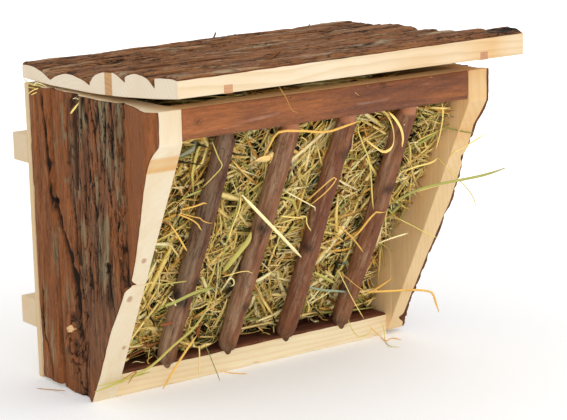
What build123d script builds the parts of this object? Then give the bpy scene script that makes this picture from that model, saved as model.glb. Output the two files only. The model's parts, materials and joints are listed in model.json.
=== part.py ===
"""Hay feeder box made of bark-faced slab boards, with a hinged lid, in millimetres.

X runs along the width, Y from the front to the wall side, Z up. The origin is at the
bottom centre of the bounding box. The front edge plane of the side panels is at FRONT_Y
and the rear face of the back board at BACK_Y. The lid is drawn as it rests on the hay,
a little open.
"""
import os
from math import atan2, cos, degrees, radians, sin, tan

from build123d import *

# ---- Driving dimensions -------------------------------------------------------------

# Box
BOX_WIDTH = 240.0            # over the sawn faces of the two side panels
BOX_DEPTH = 154.0            # front edge of the side panels to the back of the back board
BOX_HEIGHT = 187.0
SIDE_WOOD = 14.0             # nominal thickness of a side panel, to the ends of the back board
BARK_SKIN = 1.3              # bark over the wood of the slabs, counted in their thicknesses
BARK_SWELL = 0.7             # how much a bark ridge rises and falls along the grain
SIDE_SECTIONS = 5            # sections along the grain that the ridges run through
LID_SECTIONS = 6
FRONT_EDGE_HEIGHT = 20.0     # upright part of the side panels' front edge
FOOT_SETBACK = 83.5          # how far the front edge runs back by the time it meets the floor
LEFT_SEAMS = (44.0, 122.0)   # glue lines of the left panel, from the front edge
RIGHT_SEAMS = (19.5, 78.0)   # glue lines of the right panel
# Bark faces of the side slabs, front to rear: share of the slab's width and thickness there
LEFT_BARK = (
    ((0, 15.5), (0.07, 19.9), (0.15, 21.6), (0.31, 19.9), (0.45, 17.7), (0.66, 15.2), (0.85, 13.5), (1, 12.4)),
    ((0, 15.7), (0.06, 15.4), (0.22, 17.6), (0.40, 17.0), (0.53, 18.1), (0.57, 14.2), (0.66, 13.9), (0.80, 15.4),
     (0.90, 14.4), (1, 13.6)),
    ((0, 16.2), (0.25, 17.2), (0.50, 15.8), (0.70, 16.4), (1, 14.6)),
)
RIGHT_BARK = (
    ((0, 16.9), (0.23, 15.1), (0.46, 12.8), (0.64, 14.0), (1, 14.6)),
    ((0, 17.6), (0.05, 14.8), (0.27, 16.2), (0.44, 15.2), (0.62, 13.8), (0.80, 11.9), (1, 11.2)),
    ((0, 13.2), (0.12, 14.6), (0.22, 13.4), (0.36, 16.0), (0.50, 14.6), (0.64, 16.2), (0.80, 14.4), (0.90, 15.4),
     (1, 13.4)),
)
LEFT_REAR_FOOT = 2.0         # the left rear slab is cut this much short at the bottom
RIGHT_FOOT = 3.5             # and all three slabs of the right panel this much
BACK_THICKNESS = 5.0
FLOOR_THICKNESS = 15.8
RAIL_HEIGHT = 18.0
RAIL_DEPTH = 15.2
RAIL_EDGE = 0.8              # rounding along the rail's front corners

# Battens on the back
BATTEN_SIZE = 18.0
UPPER_BATTEN_Z = 136.4       # undersides of the two battens
LOWER_BATTEN_Z = 31.4

# Branch bars
END_BAR_INSET = 37.75        # axis of an end bar from the inside of its side panel
BAR_SET_BACK = 9.8           # bar axis behind the front edge of the panels, along Y
BAR_TOP_RADIUS = 6.6
BAR_FOOT_RADIUS = 5.8
TENON_RADIUS = 3.9
TENON_DEPTH = 8.0            # length of a tenon in its hole
TENON_PLAY = 0.05
TOP_SHOULDER = 3.2           # length of the cones cut down to the tenons
FOOT_SHOULDER = 6.0
SHOULDER_GAP = 2.4           # tenon left bare between the cone and the board
BAR_TOP_SHIFTS = (-1.5, -1.0, -4.0, -2.5)   # the branches aren't quite upright

# Lid
LID_LEFT_OVERHANG = 0.4      # beyond the sawn faces of the side panels
LID_RIGHT_OVERHANG = 13.6
LID_FRONT_OVERHANG = 19.0
LID_REAR_GAP = 2.9           # underside of the lid over the box's top, at its rear edge
LID_REAR_SLOPE = 2.49        # degrees, the cupped lid falls from its rear edge
LID_CUP_RADIUS = 1075.0      # the slabs' bark side has shrunk and cupped the lid
MAIN_SLAB = "lid_slab_2"     # this slab makes up the depth that the others leave
# name, width, and points across the bark face: share of the width from the rear, then the
# thickness at the lid's left end and at its right end
LID_BOARDS = (
    ("lid_slab_1", 33.5, ((0, 9.3, 12.6), (0.11, 9.9, 13.2), (0.45, 9.8, 13.9), (0.71, 8.1, 14.2), (1, 4.2, 14.6))),
    (MAIN_SLAB, None, ((0, 4.2, 14.6), (0.14, 7.3, 15.2), (0.38, 9.9, 16.0), (0.59, 9.9, 15.8), (0.81, 8.1, 14.8),
                       (1, 5.6, 13.6))),
    ("lid_slab_3", 16.8, ((0, 6.4, 13.6), (0.17, 10.7, 14.6), (0.49, 13.1, 15.4), (0.86, 14.6, 15.0), (1, 14.6, 14.6))),
    ("lid_filler_strip", 8.0, ((0, 14.6, 14.6), (1, 14.6, 14.6))),
    ("lid_slab_4", 14.2, ((0, 15.0, 14.6), (0.39, 13.3, 14.4), (0.73, 11.4, 13.4), (1, 9.5, 12.0))),
    ("lid_slab_5", 31.0, ((0, 12.4, 12.4), (0.05, 13.7, 13.6), (0.33, 15.2, 16.4), (0.60, 13.7, 16.0),
                          (0.81, 11.3, 14.2), (1, 6.8, 11.0))),
    ("lid_slab_6", 23.0, ((0, 12.8, 15.0), (0.20, 12.9, 16.4), (0.45, 12.7, 18.0), (0.80, 12.2, 17.2), (1, 11.0, 13.8))),
)

CLEAT_WIDTH = 5.8
CLEAT_HEIGHT = 4.6
LEFT_CLEAT_INSET = 33.2      # cleat axis from the left and the right end of the lid
RIGHT_CLEAT_INSET = 32.2

# Hinges
HINGE_INSET = 36.0           # middle of a hinge from the inside of its side panel
LEAF_WIDTH = 25.0
LEAF_REACH = 13.0            # from the pin's axis to the leaf's edge
LEAF_THICKNESS = 1.0
KNUCKLE_RADIUS = 2.0
PIN_RADIUS = 1.0
PIN_PLAY = 0.05              # round the pin in the lid leaf's knuckle
PIN_HEAD = 0.6               # the pin stands out of the knuckles by this much
KNUCKLE_WIDTH = 8.4          # the lid leaf's middle knuckle
KNUCKLE_GAP = 0.2
LEAF_CLEARANCE = 0.3         # between a leaf and the other leaf's knuckle

# Screws and brads
HINGE_SCREW_RADIUS = 1.1
HINGE_SCREW_HEAD = 2.1
HINGE_SCREW_SPREAD = 14.0
HINGE_SCREW_EDGE = 4.0       # from the leaf's free edge
LID_SCREW_LENGTH = 6.0
BACK_SCREW_LENGTH = 4.4
BATTEN_SCREW_RADIUS = 1.75
BATTEN_SCREW_HEAD = 3.4
BATTEN_SCREW_LENGTH = 45.0
BRAD_RADIUS = 0.7
BRAD_LENGTH = 34.0
BRAD_SUNK = 0.5              # brad heads lie this deep in the bark or the wood
BACK_BRAD_LENGTH = 22.0
BRAD_INSET = 10.0            # from the ends of the board that it holds

# Hay
HAY_PLAY = 0.3               # between the hay and the boards round it
HAY_HEADSPACE = 20.0         # from the hay's top to the rim
HAY_BEHIND_BARS = 21.0       # front of the pressed hay behind the bars' axes, along Y

# ---- Places worked out from them ----------------------------------------------------



def ridged(thicknesses, section, sections):
    """Thicknesses across a bark face at one of its sections, where its ridges rise and fall.

    The slab's own edges, and its two end sections, keep the thicknesses given for them.
    """
    if section in (0, sections - 1):
        return list(thicknesses)
    inner = range(1, len(thicknesses) - 1)
    return [t + (BARK_SWELL * sin(2.3 * i + 1.9 * section) if i in inner else 0) for i, t in enumerate(thicknesses)]


def side_face(bark, section):
    """Share of the width and thickness of each point across a side slab's bark face at a section."""
    shares, thicknesses = zip(*bark)
    return list(zip(shares, ridged(thicknesses, section, SIDE_SECTIONS)))


LEFT_BULGE = max(t for bark in LEFT_BARK for _, t in bark) - SIDE_WOOD
TOTAL_WIDTH = LEFT_BULGE + BOX_WIDTH + LID_RIGHT_OVERHANG
TOTAL_DEPTH = LID_FRONT_OVERHANG + BOX_DEPTH + BATTEN_SIZE
LEFT_X = -TOTAL_WIDTH / 2 + LEFT_BULGE
RIGHT_X = LEFT_X + BOX_WIDTH
MIDDLE_X = (LEFT_X + RIGHT_X) / 2
LEFT_INNER_X = LEFT_X + SIDE_WOOD
RIGHT_INNER_X = RIGHT_X - SIDE_WOOD
INNER_WIDTH = RIGHT_INNER_X - LEFT_INNER_X
FRONT_Y = -TOTAL_DEPTH / 2 + LID_FRONT_OVERHANG
BACK_Y = FRONT_Y + BOX_DEPTH
WALL_Y = BACK_Y + BATTEN_SIZE
PANEL_BACK_Y = BACK_Y - BACK_THICKNESS
FOOT_Y = FRONT_Y + FOOT_SETBACK
PANEL_DEPTH = BOX_DEPTH - BACK_THICKNESS
KINK_Z = BOX_HEIGHT - FRONT_EDGE_HEIGHT
RAIL_Z = BOX_HEIGHT - RAIL_HEIGHT

# The front edge, and the bars behind it, lean back from the kink to the foot.
LEAN = atan2(FOOT_SETBACK, KINK_Z)


def edge_y(z):
    """Y of the leaning front edge, on its own line, at a height."""
    return FRONT_Y + (KINK_Z - z) * tan(LEAN)


BAR_LENGTH = (RAIL_Z - FLOOR_THICKNESS) / cos(LEAN)
BAR_PITCH = (INNER_WIDTH - 2 * END_BAR_INSET) / (len(BAR_TOP_SHIFTS) - 1)

LID_LEFT_X = LEFT_X - LID_LEFT_OVERHANG
LID_RIGHT_X = RIGHT_X + LID_RIGHT_OVERHANG
LID_DEPTH = BOX_DEPTH + LID_FRONT_OVERHANG
CLEAT_XS = (LID_LEFT_X + LEFT_CLEAT_INSET, LID_RIGHT_X - RIGHT_CLEAT_INSET)

HINGE_XS = (LEFT_INNER_X + HINGE_INSET, RIGHT_INNER_X - HINGE_INSET)
HINGE_Y = BACK_Y + KNUCKLE_RADIUS


def underside_z(y):
    """Height of the cupped lid's underside."""
    reach = BACK_Y - y
    return BOX_HEIGHT + LID_REAR_GAP - reach * tan(radians(LID_REAR_SLOPE)) + reach**2 / (2 * LID_CUP_RADIUS)


def lid_boards():
    """Name, rear Y, front Y and the points across the bark face of each board of the lid."""
    others = sum(width for _, width, _ in LID_BOARDS if width)
    rear = BACK_Y
    rows = []
    for name, width, face in LID_BOARDS:
        front = rear - (width or LID_DEPTH - others)
        rows.append((name, rear, front, face))
        rear = front
    return rows


BOARDS = lid_boards()
LID_SEAMS = [BACK_Y] + [front for _, _, front, _ in BOARDS]
REAR_SLAB_FRONT = LID_SEAMS[1]
HINGE_Z = underside_z(BACK_Y) - KNUCKLE_RADIUS

os.makedirs("parts", exist_ok=True)


def save(part, name):
    """Label a finished piece and write it."""
    part.label = name
    export_step(part, f"parts/{name}.step")


# ---- Fasteners: places shared by the fasteners and their holes ----------------------


def cone_screw(radius, head_radius, length):
    """A countersunk screw along +Z, its head's face at z = 0 and its point below."""
    with BuildPart(mode=Mode.PRIVATE) as screw:
        with BuildSketch(Plane.XZ):
            with BuildLine():
                Polyline(
                    (0, 0),
                    (head_radius, 0),
                    (radius, radius - head_radius),
                    (radius, -length + radius),
                    (0, -length),
                    close=True,
                )
            make_face()
        revolve(axis=Axis.Z)
    return screw.part


def placed(solid, planes):
    """Copies of a solid made on Plane.XY, one on each plane."""
    return [plane.location * solid for plane in planes]


def side_thickness(side, y):
    """Thickness of a side panel, bark and all, at a place along its depth."""
    seams, barks = (LEFT_SEAMS, LEFT_BARK) if side == "left" else (RIGHT_SEAMS, RIGHT_BARK)
    bounds = (0, *seams, PANEL_DEPTH)
    spots = []
    for start, end, bark in zip(bounds, bounds[1:], barks):
        spots += [(FRONT_Y + start + share * (end - start), t) for share, t in bark]
    for (y0, t0), (y1, t1) in zip(spots, spots[1:]):
        if y0 <= y < y1:
            return t0 + (t1 - t0) * (y - y0) / (y1 - y0)
    return spots[-1][1]


def side_brad_planes(side):
    """Starts of the brads through a side panel into the rail's and the floor's ends."""
    out = -1 if side == "left" else 1
    inner_x = LEFT_INNER_X if side == "left" else RIGHT_INNER_X
    rail_y = FRONT_Y + RAIL_DEPTH / 2
    rail_zs = (RAIL_Z + RAIL_HEIGHT / 3, RAIL_Z + 2 * RAIL_HEIGHT / 3)
    floor_z = FLOOR_THICKNESS / 2
    floor_ys = (FOOT_Y + BRAD_INSET, PANEL_BACK_Y - BRAD_INSET)
    spots = [(rail_y, z) for z in rail_zs] + [(y, floor_z) for y in floor_ys]
    planes = []
    for y, z in spots:
        head_x = inner_x + out * (side_thickness(side, y) - BARK_SKIN - BRAD_SUNK)
        planes.append(Plane((head_x, y, z), x_dir=(0, 1, 0), z_dir=(out, 0, 0)))
    return planes


def back_brad_planes():
    """Starts of the brads through the back board into the side panels and the floor."""
    side_xs = (LEFT_X + SIDE_WOOD / 2, RIGHT_X - SIDE_WOOD / 2)
    heights = (BRAD_INSET, BOX_HEIGHT / 2, BOX_HEIGHT - BRAD_INSET)
    floor_xs = (MIDDLE_X - INNER_WIDTH / 4, MIDDLE_X + INNER_WIDTH / 4)
    spots = [(x, z) for x in side_xs for z in heights] + [(x, FLOOR_THICKNESS / 2) for x in floor_xs]
    return [Plane((x, BACK_Y - BRAD_SUNK, z), x_dir=(1, 0, 0), z_dir=(0, 1, 0)) for x, z in spots]


def batten_screw_planes():
    """Starts of the screws through the battens' ends into the side panels."""
    xs = (LEFT_X + SIDE_WOOD / 2, RIGHT_X - SIDE_WOOD / 2)
    zs = (UPPER_BATTEN_Z + BATTEN_SIZE / 2, LOWER_BATTEN_Z + BATTEN_SIZE / 2)
    return [Plane((x, WALL_Y, z), x_dir=(1, 0, 0), z_dir=(0, 1, 0)) for x in xs for z in zs]


def hinge_screw_xs():
    """X of every hinge screw: two in each leaf."""
    return [x + side * HINGE_SCREW_SPREAD / 2 for x in HINGE_XS for side in (-1, 1)]


# The lid leaves and their screws follow the slope of the rear slab's underside.
REAR_SLAB_SLOPE = atan2(underside_z(BACK_Y) - underside_z(REAR_SLAB_FRONT), BACK_Y - REAR_SLAB_FRONT)
LEAF_DOWN = Vector(0, sin(REAR_SLAB_SLOPE), -cos(REAR_SLAB_SLOPE))
LEAF_FORWARD = Vector(0, -cos(REAR_SLAB_SLOPE), -sin(REAR_SLAB_SLOPE))
LEAF_ROOT = Vector(0, BACK_Y, underside_z(BACK_Y))


def leaf_screw_planes():
    """Starts of the screws through the lid leaves, on the leaves' undersides."""
    reach = LEAF_REACH - KNUCKLE_RADIUS - HINGE_SCREW_EDGE
    spot = LEAF_ROOT + LEAF_FORWARD * reach + LEAF_DOWN * LEAF_THICKNESS
    return [Plane(spot + Vector(x, 0, 0), x_dir=(1, 0, 0), z_dir=LEAF_DOWN) for x in hinge_screw_xs()]


def body_screw_planes():
    """Starts of the screws through the body leaves."""
    z = HINGE_Z - LEAF_REACH + HINGE_SCREW_EDGE
    y = BACK_Y + LEAF_THICKNESS
    return [Plane((x, y, z), x_dir=(1, 0, 0), z_dir=(0, 1, 0)) for x in hinge_screw_xs()]


side_brad = Solid.make_cylinder(BRAD_RADIUS, BRAD_LENGTH, Plane.XY.offset(-BRAD_LENGTH))
back_brad = Solid.make_cylinder(BRAD_RADIUS, BACK_BRAD_LENGTH, Plane.XY.offset(-BACK_BRAD_LENGTH))
batten_screw = cone_screw(BATTEN_SCREW_RADIUS, BATTEN_SCREW_HEAD, BATTEN_SCREW_LENGTH)
lid_screw = cone_screw(HINGE_SCREW_RADIUS, HINGE_SCREW_HEAD, LID_SCREW_LENGTH)
body_screw = cone_screw(HINGE_SCREW_RADIUS, HINGE_SCREW_HEAD, BACK_SCREW_LENGTH)

left_brads = placed(side_brad, side_brad_planes("left"))
right_brads = placed(side_brad, side_brad_planes("right"))
back_brads = placed(back_brad, back_brad_planes())
batten_screws = placed(batten_screw, batten_screw_planes())
lid_hinge_screws = placed(lid_screw, leaf_screw_planes())
body_hinge_screws = placed(body_screw, body_screw_planes())

for name, group in (
    ("left_side_brads", left_brads),
    ("right_side_brads", right_brads),
    ("back_board_brads", back_brads),
    ("batten_screws", batten_screws),
    ("hinge_lid_screws", lid_hinge_screws),
    ("hinge_body_screws", body_hinge_screws),
):
    save(Compound(children=group), name)


# ---- Side panels ---------------------------------------------------------------------


def side_slab(side, start, end, foot, bark, fasteners):
    """One upright slab of a side panel, between two distances from the front edge.

    Sawn flat inside, with the main ridges of its bark outside.
    """
    out = -1 if side == "left" else 1
    inner_x = LEFT_INNER_X if side == "left" else RIGHT_INNER_X
    y0, y1 = FRONT_Y + start, FRONT_Y + end
    with BuildPart() as slab:
        for section in range(SIDE_SECTIONS):
            z = foot + (BOX_HEIGHT - foot) * section / (SIDE_SECTIONS - 1)
            face = [(inner_x + out * t, y0 + share * (y1 - y0)) for share, t in side_face(bark, section)]
            with BuildSketch(Plane.XY.offset(z)):
                with BuildLine():
                    Polyline((inner_x, y0), *face, (inner_x, y1), close=True)
                make_face()
        loft(ruled=True)
        reach = 2 * SIDE_WOOD
        with BuildSketch(Plane.YZ.offset(min(inner_x, inner_x + out * reach))):
            with BuildLine():
                Polyline(
                    (FRONT_Y, BOX_HEIGHT),
                    (FRONT_Y, KINK_Z),
                    (edge_y(foot), foot),
                    (PANEL_BACK_Y, foot),
                    (PANEL_BACK_Y, BOX_HEIGHT),
                    close=True,
                )
            make_face()
        extrude(amount=reach, mode=Mode.INTERSECT)
        add(fasteners, mode=Mode.SUBTRACT)
    return slab.part


def side_panel(side, seams, feet, barks, fasteners):
    """The three slabs of a side panel, front to rear."""
    bounds = (0, *seams, PANEL_DEPTH)
    for index, place in enumerate(("front", "middle", "rear")):
        slab = side_slab(side, bounds[index], bounds[index + 1], feet[index], barks[index], fasteners)
        save(slab, f"{side}_side_{place}_slab")


side_panel("left", LEFT_SEAMS, (0, 0, LEFT_REAR_FOOT), LEFT_BARK, left_brads + back_brads + batten_screws)
side_panel("right", RIGHT_SEAMS, (RIGHT_FOOT,) * 3, RIGHT_BARK, right_brads + back_brads + batten_screws)


# ---- Bars ----------------------------------------------------------------------------


def bar_plane(index):
    """Plane across a bar at the floor's top, with its normal up along the bar."""
    foot_x = LEFT_INNER_X + END_BAR_INSET + index * BAR_PITCH
    foot = Vector(foot_x, edge_y(FLOOR_THICKNESS) + BAR_SET_BACK, FLOOR_THICKNESS)
    top = Vector(foot_x + BAR_TOP_SHIFTS[index], edge_y(RAIL_Z) + BAR_SET_BACK, RAIL_Z)
    return Plane(foot, x_dir=(1, 0, 0), z_dir=top - foot)


bar_planes = [bar_plane(index) for index in range(len(BAR_TOP_SHIFTS))]


def bar_profile():
    """Radius and height along a bar, from the foot of its lower tenon to its top."""
    lower_start = SHOULDER_GAP + FOOT_SHOULDER
    upper_start = BAR_LENGTH - SHOULDER_GAP - TOP_SHOULDER
    return [
        (0, -TENON_DEPTH),
        (TENON_RADIUS, -TENON_DEPTH),
        (TENON_RADIUS, SHOULDER_GAP),
        (BAR_FOOT_RADIUS, lower_start),
        (BAR_TOP_RADIUS, upper_start),
        (TENON_RADIUS, BAR_LENGTH - SHOULDER_GAP),
        (TENON_RADIUS, BAR_LENGTH + TENON_DEPTH),
        (0, BAR_LENGTH + TENON_DEPTH),
    ]


bars = []
tenon_holes = []
for index, plane in enumerate(bar_planes):
    with BuildPart() as bar:
        with BuildSketch(Plane(plane.origin, x_dir=plane.x_dir, z_dir=-plane.y_dir)):
            with BuildLine():
                Polyline(*bar_profile(), close=True)
            make_face()
        revolve(axis=Axis(plane.origin, plane.z_dir))
    save(bar.part, f"bar_{index + 1}")
    for start in (-TENON_DEPTH, BAR_LENGTH - SHOULDER_GAP):
        reach = TENON_DEPTH + SHOULDER_GAP
        tenon_holes.append(Solid.make_cylinder(TENON_RADIUS + TENON_PLAY, reach, plane.offset(start)))


# ---- Rail, floor, back board and battens ---------------------------------------------

with BuildPart() as top_rail:
    with BuildSketch(Plane.XY.offset(RAIL_Z)):
        with Locations((MIDDLE_X, FRONT_Y + RAIL_DEPTH / 2)):
            Rectangle(INNER_WIDTH, RAIL_DEPTH)
    extrude(amount=RAIL_HEIGHT)
    fillet(top_rail.edges().filter_by(Axis.X).group_by(Axis.Y)[0], RAIL_EDGE)
    add(tenon_holes + left_brads + right_brads, mode=Mode.SUBTRACT)
save(top_rail.part, "top_rail")

with BuildPart() as floor_board:
    with BuildSketch():
        with Locations((MIDDLE_X, (FOOT_Y + PANEL_BACK_Y) / 2)):
            Rectangle(INNER_WIDTH, PANEL_BACK_Y - FOOT_Y)
    extrude(amount=FLOOR_THICKNESS)
    add(tenon_holes + left_brads + right_brads + back_brads, mode=Mode.SUBTRACT)
save(floor_board.part, "floor_board")

with BuildPart() as back_board:
    with BuildSketch(Plane.XY):
        with Locations((MIDDLE_X, BACK_Y - BACK_THICKNESS / 2)):
            Rectangle(BOX_WIDTH, BACK_THICKNESS)
    extrude(amount=BOX_HEIGHT)
    add(back_brads + batten_screws + body_hinge_screws, mode=Mode.SUBTRACT)
save(back_board.part, "back_board")

for name, z in (("upper_batten", UPPER_BATTEN_Z), ("lower_batten", LOWER_BATTEN_Z)):
    with BuildPart() as batten:
        with BuildSketch(Plane.XY.offset(z)):
            with Locations((MIDDLE_X, BACK_Y + BATTEN_SIZE / 2)):
                Rectangle(BOX_WIDTH, BATTEN_SIZE)
        extrude(amount=BATTEN_SIZE)
        add(batten_screws, mode=Mode.SUBTRACT)
    save(batten.part, name)


# ---- Lid -----------------------------------------------------------------------------

cleats = []
for side, x in zip(("left", "right"), CLEAT_XS):
    with BuildPart() as cleat:
        with BuildSketch(Plane.YZ.offset(x - CLEAT_WIDTH / 2)):
            lower = [(y, underside_z(y)) for y in LID_SEAMS]
            upper = [(y, z + CLEAT_HEIGHT) for y, z in reversed(lower)]
            with BuildLine():
                Polyline(*lower, *upper, close=True)
            make_face()
        extrude(amount=CLEAT_WIDTH)
    save(cleat.part, f"lid_cleat_{side}")
    cleats.append(cleat.part)


def lid_board(rear, front, face, cuts):
    """One board of the lid, flat below, with the main ridges of its bark above."""
    shares, lefts, rights = zip(*face)
    rear_z, front_z = underside_z(rear), underside_z(front)
    with BuildPart() as board:
        for section in range(LID_SECTIONS):
            along = section / (LID_SECTIONS - 1)
            thicknesses = [left + along * (right - left) for left, right in zip(lefts, rights)]
            top = [
                (rear + share * (front - rear), rear_z + share * (front_z - rear_z) + t)
                for share, t in zip(shares, ridged(thicknesses, section, LID_SECTIONS))
            ]
            with BuildSketch(Plane.YZ.offset(LID_LEFT_X + along * (LID_RIGHT_X - LID_LEFT_X))):
                with BuildLine():
                    Polyline((rear, rear_z), *top, (front, front_z), close=True)
                make_face()
        loft(ruled=True)
        add(cuts, mode=Mode.SUBTRACT)
    return board.part


for name, rear, front, face in BOARDS:
    save(lid_board(rear, front, face, cleats + lid_hinge_screws), name)


# ---- Hinges --------------------------------------------------------------------------


def body_leaf(x):
    """The upright leaf on the back board, with the two outer knuckles."""
    slot = KNUCKLE_WIDTH + 2 * KNUCKLE_GAP
    slot_depth = KNUCKLE_RADIUS + LEAF_CLEARANCE
    with BuildPart() as leaf:
        with BuildSketch(Plane((x, BACK_Y, HINGE_Z), x_dir=(-1, 0, 0), z_dir=(0, 1, 0))):
            with Locations((0, -LEAF_REACH / 2)):
                Rectangle(LEAF_WIDTH, LEAF_REACH)
        extrude(amount=LEAF_THICKNESS)
        with BuildSketch(Plane.YZ.offset(x - LEAF_WIDTH / 2)):
            with Locations((HINGE_Y, HINGE_Z)):
                Circle(KNUCKLE_RADIUS)
        extrude(amount=LEAF_WIDTH)
        with BuildSketch(Plane.YZ.offset(x - slot / 2)):
            with Locations((HINGE_Y, HINGE_Z)):
                Rectangle(2 * slot_depth, 2 * slot_depth)
        extrude(amount=slot, mode=Mode.SUBTRACT)
        with BuildSketch(Plane.YZ.offset(x - LEAF_WIDTH / 2)):
            with Locations((HINGE_Y, HINGE_Z)):
                Circle(PIN_RADIUS)
        extrude(amount=LEAF_WIDTH, mode=Mode.SUBTRACT)
        add(body_hinge_screws, mode=Mode.SUBTRACT)
    return leaf.part


def lid_leaf(x):
    """The leaf under the lid's rear slab, with the middle knuckle."""
    plate_reach = LEAF_REACH - KNUCKLE_RADIUS
    with BuildPart() as leaf:
        with BuildSketch(Plane(LEAF_ROOT + Vector(x, 0, 0), x_dir=(1, 0, 0), z_dir=LEAF_DOWN)):
            with Locations((0, (plate_reach + LEAF_CLEARANCE) / 2)):
                Rectangle(LEAF_WIDTH, plate_reach - LEAF_CLEARANCE)
            with Locations((0, (plate_reach - KNUCKLE_RADIUS) / 2)):
                Rectangle(KNUCKLE_WIDTH, plate_reach + KNUCKLE_RADIUS)
        extrude(amount=LEAF_THICKNESS)
        with BuildSketch(Plane.YZ.offset(x - KNUCKLE_WIDTH / 2)):
            with Locations((HINGE_Y, HINGE_Z)):
                Circle(KNUCKLE_RADIUS)
        extrude(amount=KNUCKLE_WIDTH)
        with BuildSketch(Plane.YZ.offset(x - KNUCKLE_WIDTH / 2)):
            with Locations((HINGE_Y, HINGE_Z)):
                Circle(PIN_RADIUS + PIN_PLAY)
        extrude(amount=KNUCKLE_WIDTH, mode=Mode.SUBTRACT)
        add(lid_hinge_screws, mode=Mode.SUBTRACT)
    return leaf.part


for side, x in zip(("left", "right"), HINGE_XS):
    save(body_leaf(x), f"hinge_{side}_body_leaf")
    save(lid_leaf(x), f"hinge_{side}_lid_leaf")
    with BuildPart() as pin:
        with BuildSketch(Plane.YZ.offset(x - LEAF_WIDTH / 2 - PIN_HEAD)):
            with Locations((HINGE_Y, HINGE_Z)):
                Circle(PIN_RADIUS)
        extrude(amount=LEAF_WIDTH + 2 * PIN_HEAD)
    save(pin.part, f"hinge_{side}_pin")


# ---- Hay -----------------------------------------------------------------------------

HAY_FOOT_Z = FLOOR_THICKNESS + HAY_PLAY
HAY_TOP_Z = BOX_HEIGHT - HAY_HEADSPACE
HAY_BACK_Y = PANEL_BACK_Y - HAY_PLAY

with BuildPart() as hay_fill:
    with BuildSketch(Plane.YZ.offset(LEFT_INNER_X + HAY_PLAY)):
        with BuildLine():
            Polyline(
                (edge_y(HAY_FOOT_Z) + BAR_SET_BACK + HAY_BEHIND_BARS, HAY_FOOT_Z),
                (edge_y(HAY_TOP_Z) + BAR_SET_BACK + HAY_BEHIND_BARS, HAY_TOP_Z),
                (HAY_BACK_Y, HAY_TOP_Z),
                (HAY_BACK_Y, HAY_FOOT_Z),
                close=True,
            )
        make_face()
    extrude(amount=INNER_WIDTH - 2 * HAY_PLAY)
save(hay_fill.part, "hay_fill")

print(f"left panel inside x {LEFT_INNER_X:.3f}, right {RIGHT_INNER_X:.3f}")
print(f"hinge axis y {HINGE_Y:.3f} z {HINGE_Z:.3f}")
print(f"lean of the front edge {degrees(LEAN):.2f} degrees, bar length {BAR_LENGTH:.1f}")
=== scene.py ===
"""Looks of the bark-faced hay feeder box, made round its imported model, in metres.

Lengths inside the functions are in millimetres until they are written to a mesh.
"""

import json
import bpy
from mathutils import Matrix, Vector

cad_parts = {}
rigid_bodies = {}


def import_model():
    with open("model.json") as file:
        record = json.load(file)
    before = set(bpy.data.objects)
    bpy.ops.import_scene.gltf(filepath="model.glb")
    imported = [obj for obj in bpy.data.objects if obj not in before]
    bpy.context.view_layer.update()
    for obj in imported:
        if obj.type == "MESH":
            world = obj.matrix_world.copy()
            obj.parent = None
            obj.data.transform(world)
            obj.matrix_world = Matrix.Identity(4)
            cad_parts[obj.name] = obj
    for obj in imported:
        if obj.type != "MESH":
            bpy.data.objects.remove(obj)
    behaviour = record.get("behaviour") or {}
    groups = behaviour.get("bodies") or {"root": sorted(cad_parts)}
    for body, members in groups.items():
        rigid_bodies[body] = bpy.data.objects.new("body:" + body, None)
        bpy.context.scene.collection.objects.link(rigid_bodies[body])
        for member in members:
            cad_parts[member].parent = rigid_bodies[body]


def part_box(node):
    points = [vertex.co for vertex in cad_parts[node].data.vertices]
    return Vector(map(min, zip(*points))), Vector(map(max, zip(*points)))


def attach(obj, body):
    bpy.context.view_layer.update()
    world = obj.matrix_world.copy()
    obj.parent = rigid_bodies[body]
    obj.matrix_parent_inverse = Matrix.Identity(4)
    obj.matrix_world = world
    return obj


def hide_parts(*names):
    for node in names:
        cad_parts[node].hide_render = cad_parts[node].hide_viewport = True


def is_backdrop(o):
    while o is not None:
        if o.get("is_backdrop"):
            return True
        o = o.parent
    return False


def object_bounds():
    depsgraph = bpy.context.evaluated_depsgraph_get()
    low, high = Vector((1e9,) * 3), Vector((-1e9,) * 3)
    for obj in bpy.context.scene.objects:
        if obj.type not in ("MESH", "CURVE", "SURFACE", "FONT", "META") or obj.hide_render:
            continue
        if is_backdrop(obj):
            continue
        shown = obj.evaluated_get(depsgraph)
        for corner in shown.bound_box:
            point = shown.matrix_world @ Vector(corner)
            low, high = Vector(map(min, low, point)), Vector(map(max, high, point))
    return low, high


bl_info = {
    "name": "Hay Feeder Box",
    "version": (1, 0, 0),
    "blender": (4, 5, 0),
    "location": "View3D > Sidebar > Hay Box",
    "description": "Makes the bark slabs, branch bars, sawn boards and loose hay of a hay feeder box",
    "category": "Object",
}

from math import atan, pi, radians, tan

import bpy
import numpy as np
from mathutils import Matrix, Vector
from mathutils.bvhtree import BVHTree

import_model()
CAD_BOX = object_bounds()

MM = 0.001


def span(node, axis):
    """Lowest and highest place of a CAD node along X, Y or Z (0, 1 or 2), in millimetres."""
    low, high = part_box(node)
    return low[axis] / MM, high[axis] / MM


# ---- Places taken from the frame, in millimetres --------------------------------------

RAIL_X = span("top_rail", 0)
RAIL_Y = span("top_rail", 1)
RAIL_Z = span("top_rail", 2)
FLOOR_Y = span("floor_board", 1)
FLOOR_TOP = span("floor_board", 2)[1]
LEFT_IN, RIGHT_IN = RAIL_X
FRONT_Y = RAIL_Y[0]
RIM_Z = RAIL_Z[1]
BACK_IN = span("back_board", 1)[0]
LID_X = span("lid_slab_6", 0)
LID_REAR = span("lid_slab_1", 1)[1]
MIDDLE_X = (LEFT_IN + RIGHT_IN) / 2

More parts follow.
